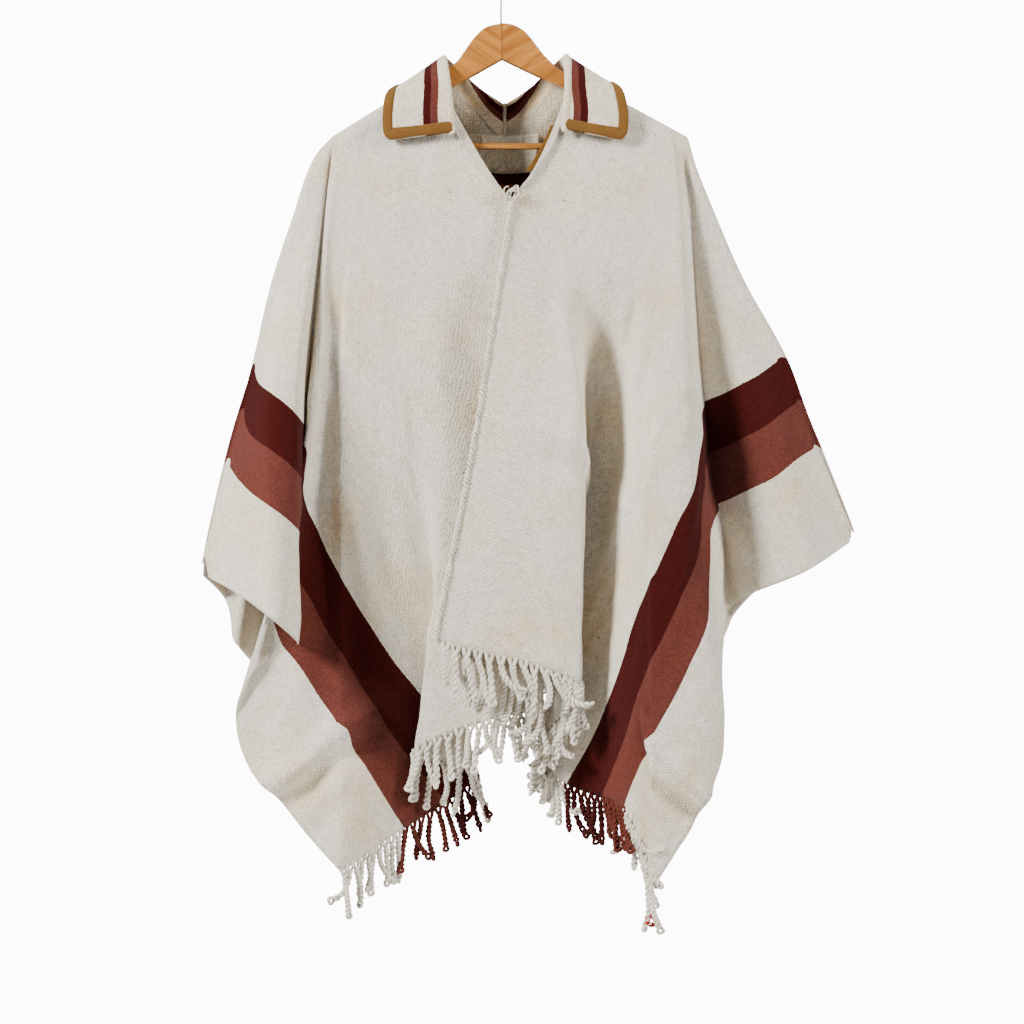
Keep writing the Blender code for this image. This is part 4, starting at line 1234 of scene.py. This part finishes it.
# %% Wood materials
def make_grain():
    tree, given, result = start_group("wood_grain", {"Place": "Vector"},
                                      {"Colour": "Color", "Roughness": "Float", "Height": "Float"})
    long = stretch(tree, given["Place"], (9.0, 130.0, 130.0))
    bands = noise_at(tree, long, 1.0, 4.0, distortion=0.6)
    pores = noise_at(tree, stretch(tree, given["Place"], (45.0, 1500.0, 1500.0)), 1.0)
    ramp = add_node(tree, "ValToRGB", {0: bands})
    for stop, position, color in zip(ramp.color_ramp.elements, (0.30, 0.72),
                                     ((0.30, 0.095, 0.008, 1.0), (0.52, 0.205, 0.026, 1.0))):
        stop.position, stop.color = position, color
    dark = remap(tree, pores, 0.35, 0.6, 0.80, 1.03)
    tree.links.new(shade(tree, ramp.outputs[0], dark), result["Colour"])
    tree.links.new(remap(tree, bands, 0.0, 1.0, 0.34, 0.50), result["Roughness"])
    tree.links.new(pores, result["Height"])
    return tree


grain_group = make_grain()


def wood(name, turn, glue_width=0.0005):
    """Varnished wood, grain along a line turned in the XZ plane, dark at the glued joint."""
    mat, tree, shader = start_material(name, 0.4, Coat_Weight=0.7, Coat_Roughness=0.12,
                                       Specular_IOR_Level=0.4)
    here = add_node(tree, "TexCoord").outputs["Object"]
    turned = add_node(tree, "Mapping", {"Vector": here, "Rotation": (0.0, turn, 0.0)}).outputs[0]
    grain = use_group(tree, grain_group, {"Place": turned})
    here = add_node(tree, "SeparateXYZ", {0: here})
    glue = math_node(tree, "COMPARE", here.outputs[0], JOINT_X, glue_width)
    tree.links.new(mix_colors(tree, glue, grain["Colour"], (0.10, 0.028, 0.003, 1.0)),
                   shader.inputs["Base Color"])
    tree.links.new(grain["Roughness"], shader.inputs["Roughness"])
    bump(tree, shader, grain["Height"], 0.00012)
    return mat


for side, turn in (("left", -0.58), ("right", 0.53)):
    arm = settle(wooden_arm(side), "hanger_arm_" + side)
    arm.data.materials.append(wood("varnished_wood_" + side, turn))

# %% Bar
BAR_RADIUS = 0.004
low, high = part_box("hanger_bar")
bm = bmesh.new()
bmesh.ops.create_cone(bm, cap_ends=True, segments=48, radius1=BAR_RADIUS, radius2=BAR_RADIUS,
                      depth=high.x - low.x)
rims = [e for e in bm.edges if abs(e.verts[0].co.z - e.verts[1].co.z) < 1e-6]
bmesh.ops.bevel(bm, geom=rims, offset=0.0008, affect="EDGES", segments=3, profile=0.5, material=-1)
bmesh.ops.rotate(bm, verts=bm.verts, cent=(0, 0, 0), matrix=Matrix.Rotation(math.pi / 2, 3, "Y"))
bmesh.ops.translate(bm, verts=bm.verts, vec=(low + high) / 2)
bar = settle(mesh_object("bar", bm, sharp=40), "hanger_bar")
bar.data.materials.append(wood("varnished_bar", 0.0, glue_width=0.0))

# %% [markdown]
# ## The hook
# A steel wire goes straight up out of the joint, bends once and turns into the crook.

# %% Steel hook
WIRE_RADIUS = 0.0014
CROOK_RADIUS = 0.0165


def steel():
    mat, tree, shader = start_material("steel", 0.28, Metallic=1.0)
    rub = noise_at(tree, add_node(tree, "TexCoord").outputs["Object"], 900.0, 3.0)
    tree.links.new(mix_colors(tree, rub, (0.10, 0.10, 0.105, 1.0), (0.22, 0.22, 0.23, 1.0)),
                   shader.inputs["Base Color"])
    tree.links.new(remap(tree, rub, 0.0, 1.0, 0.2, 0.42), shader.inputs["Roughness"])
    return mat


yarns["steel"] = steel()
bends = ((0.0, ARM_TOP + GAP), (0.0, -0.052), (0.0, -0.044), (0.0001, -0.040), (0.0004, -0.0375),
         (0.0011, -0.0352), (0.0026, -0.0332), (0.0045, -0.0318), (0.0066, -0.0304))
wire = [(x, 0.0, z) for x, z in bends]
for degrees in range(-60, 215, 4):
    angle = math.radians(degrees)
    wire.append((CROOK_RADIUS * math.cos(angle), 0.0,
                 WIRE_RADIUS - CROOK_RADIUS + CROOK_RADIUS * math.sin(angle)))
settle(mesh_from_paths("hook", [(np.array(wire), 0)], WIRE_RADIUS, sides=4,
                       materials=("steel",), lumpy=False), "hanger_hook")

# %% [markdown]
# ## Stage and light
# A wide pale disc is the floor, well below the fringe.  Two strong soft lamps stand in front,
# high on the left and on the right, a weak one looks into the neck and one lights the back.
# The pale world fills the folds a little.

# %% Floor
FLOOR_Z = -1.75
bm = bmesh.new()
bmesh.ops.create_circle(bm, cap_ends=True, radius=1.9, segments=96)
bmesh.ops.translate(bm, verts=bm.verts, vec=(0.0, 0.0, FLOOR_Z))
floor = mesh_object("floor", bm)
floor_mat = start_material("pale_floor", 0.9, Base_Color=(0.80, 0.80, 0.80, 1.0))[0]
floor.data.materials.append(floor_mat)

# %% Lamps and world
LAMPS = (                  # name, place, what it looks at, size, watts
    ("lamp_left", (-2.9, -1.9, 1.1), (0.0, 0.0, -0.60), (0.8, 1.2), 375),
    ("lamp_right", (3.1, -1.3, 0.8), (0.0, 0.0, -0.60), (0.8, 1.2), 190),
    ("lamp_front", (1.3, -3.0, 1.5), (0.0, 0.0, -0.2), (0.5, 0.5), 20),
    ("lamp_back", (0.0, 2.6, 1.2), (0.0, 0.0, -0.5), (2.0, 1.4), 90),
)
for name, place, target, size, power in LAMPS:
    lamp = bpy.data.lights.new(name, "AREA")
    lamp.shape = "RECTANGLE"
    lamp.size, lamp.size_y = size
    lamp.energy = power
    holder = add_object(name, lamp)
    holder.location = place
    aim = Vector(target) - Vector(place)
    holder.rotation_euler = aim.to_track_quat("-Z", "Y").to_euler()

world = bpy.data.worlds.new("pale_world")
world.use_nodes = True
bpy.context.scene.world = world
tree = world.node_tree
ground = tree.nodes["Background"]
ground.inputs["Color"].default_value = (0.93, 0.95, 1.0, 1.0)
ground.inputs["Strength"].default_value = 0.11
backdrop = add_node(tree, "Background", {"Color": (1.0, 1.0, 1.0, 1.0), "Strength": 12.0})
seen = add_node(tree, "LightPath").outputs["Is Camera Ray"]
both = add_node(tree, "MixShader", {0: seen, 1: ground.outputs[0], 2: backdrop.outputs[0]})
tree.links.new(both.outputs[0], tree.nodes["World Output"].inputs["Surface"])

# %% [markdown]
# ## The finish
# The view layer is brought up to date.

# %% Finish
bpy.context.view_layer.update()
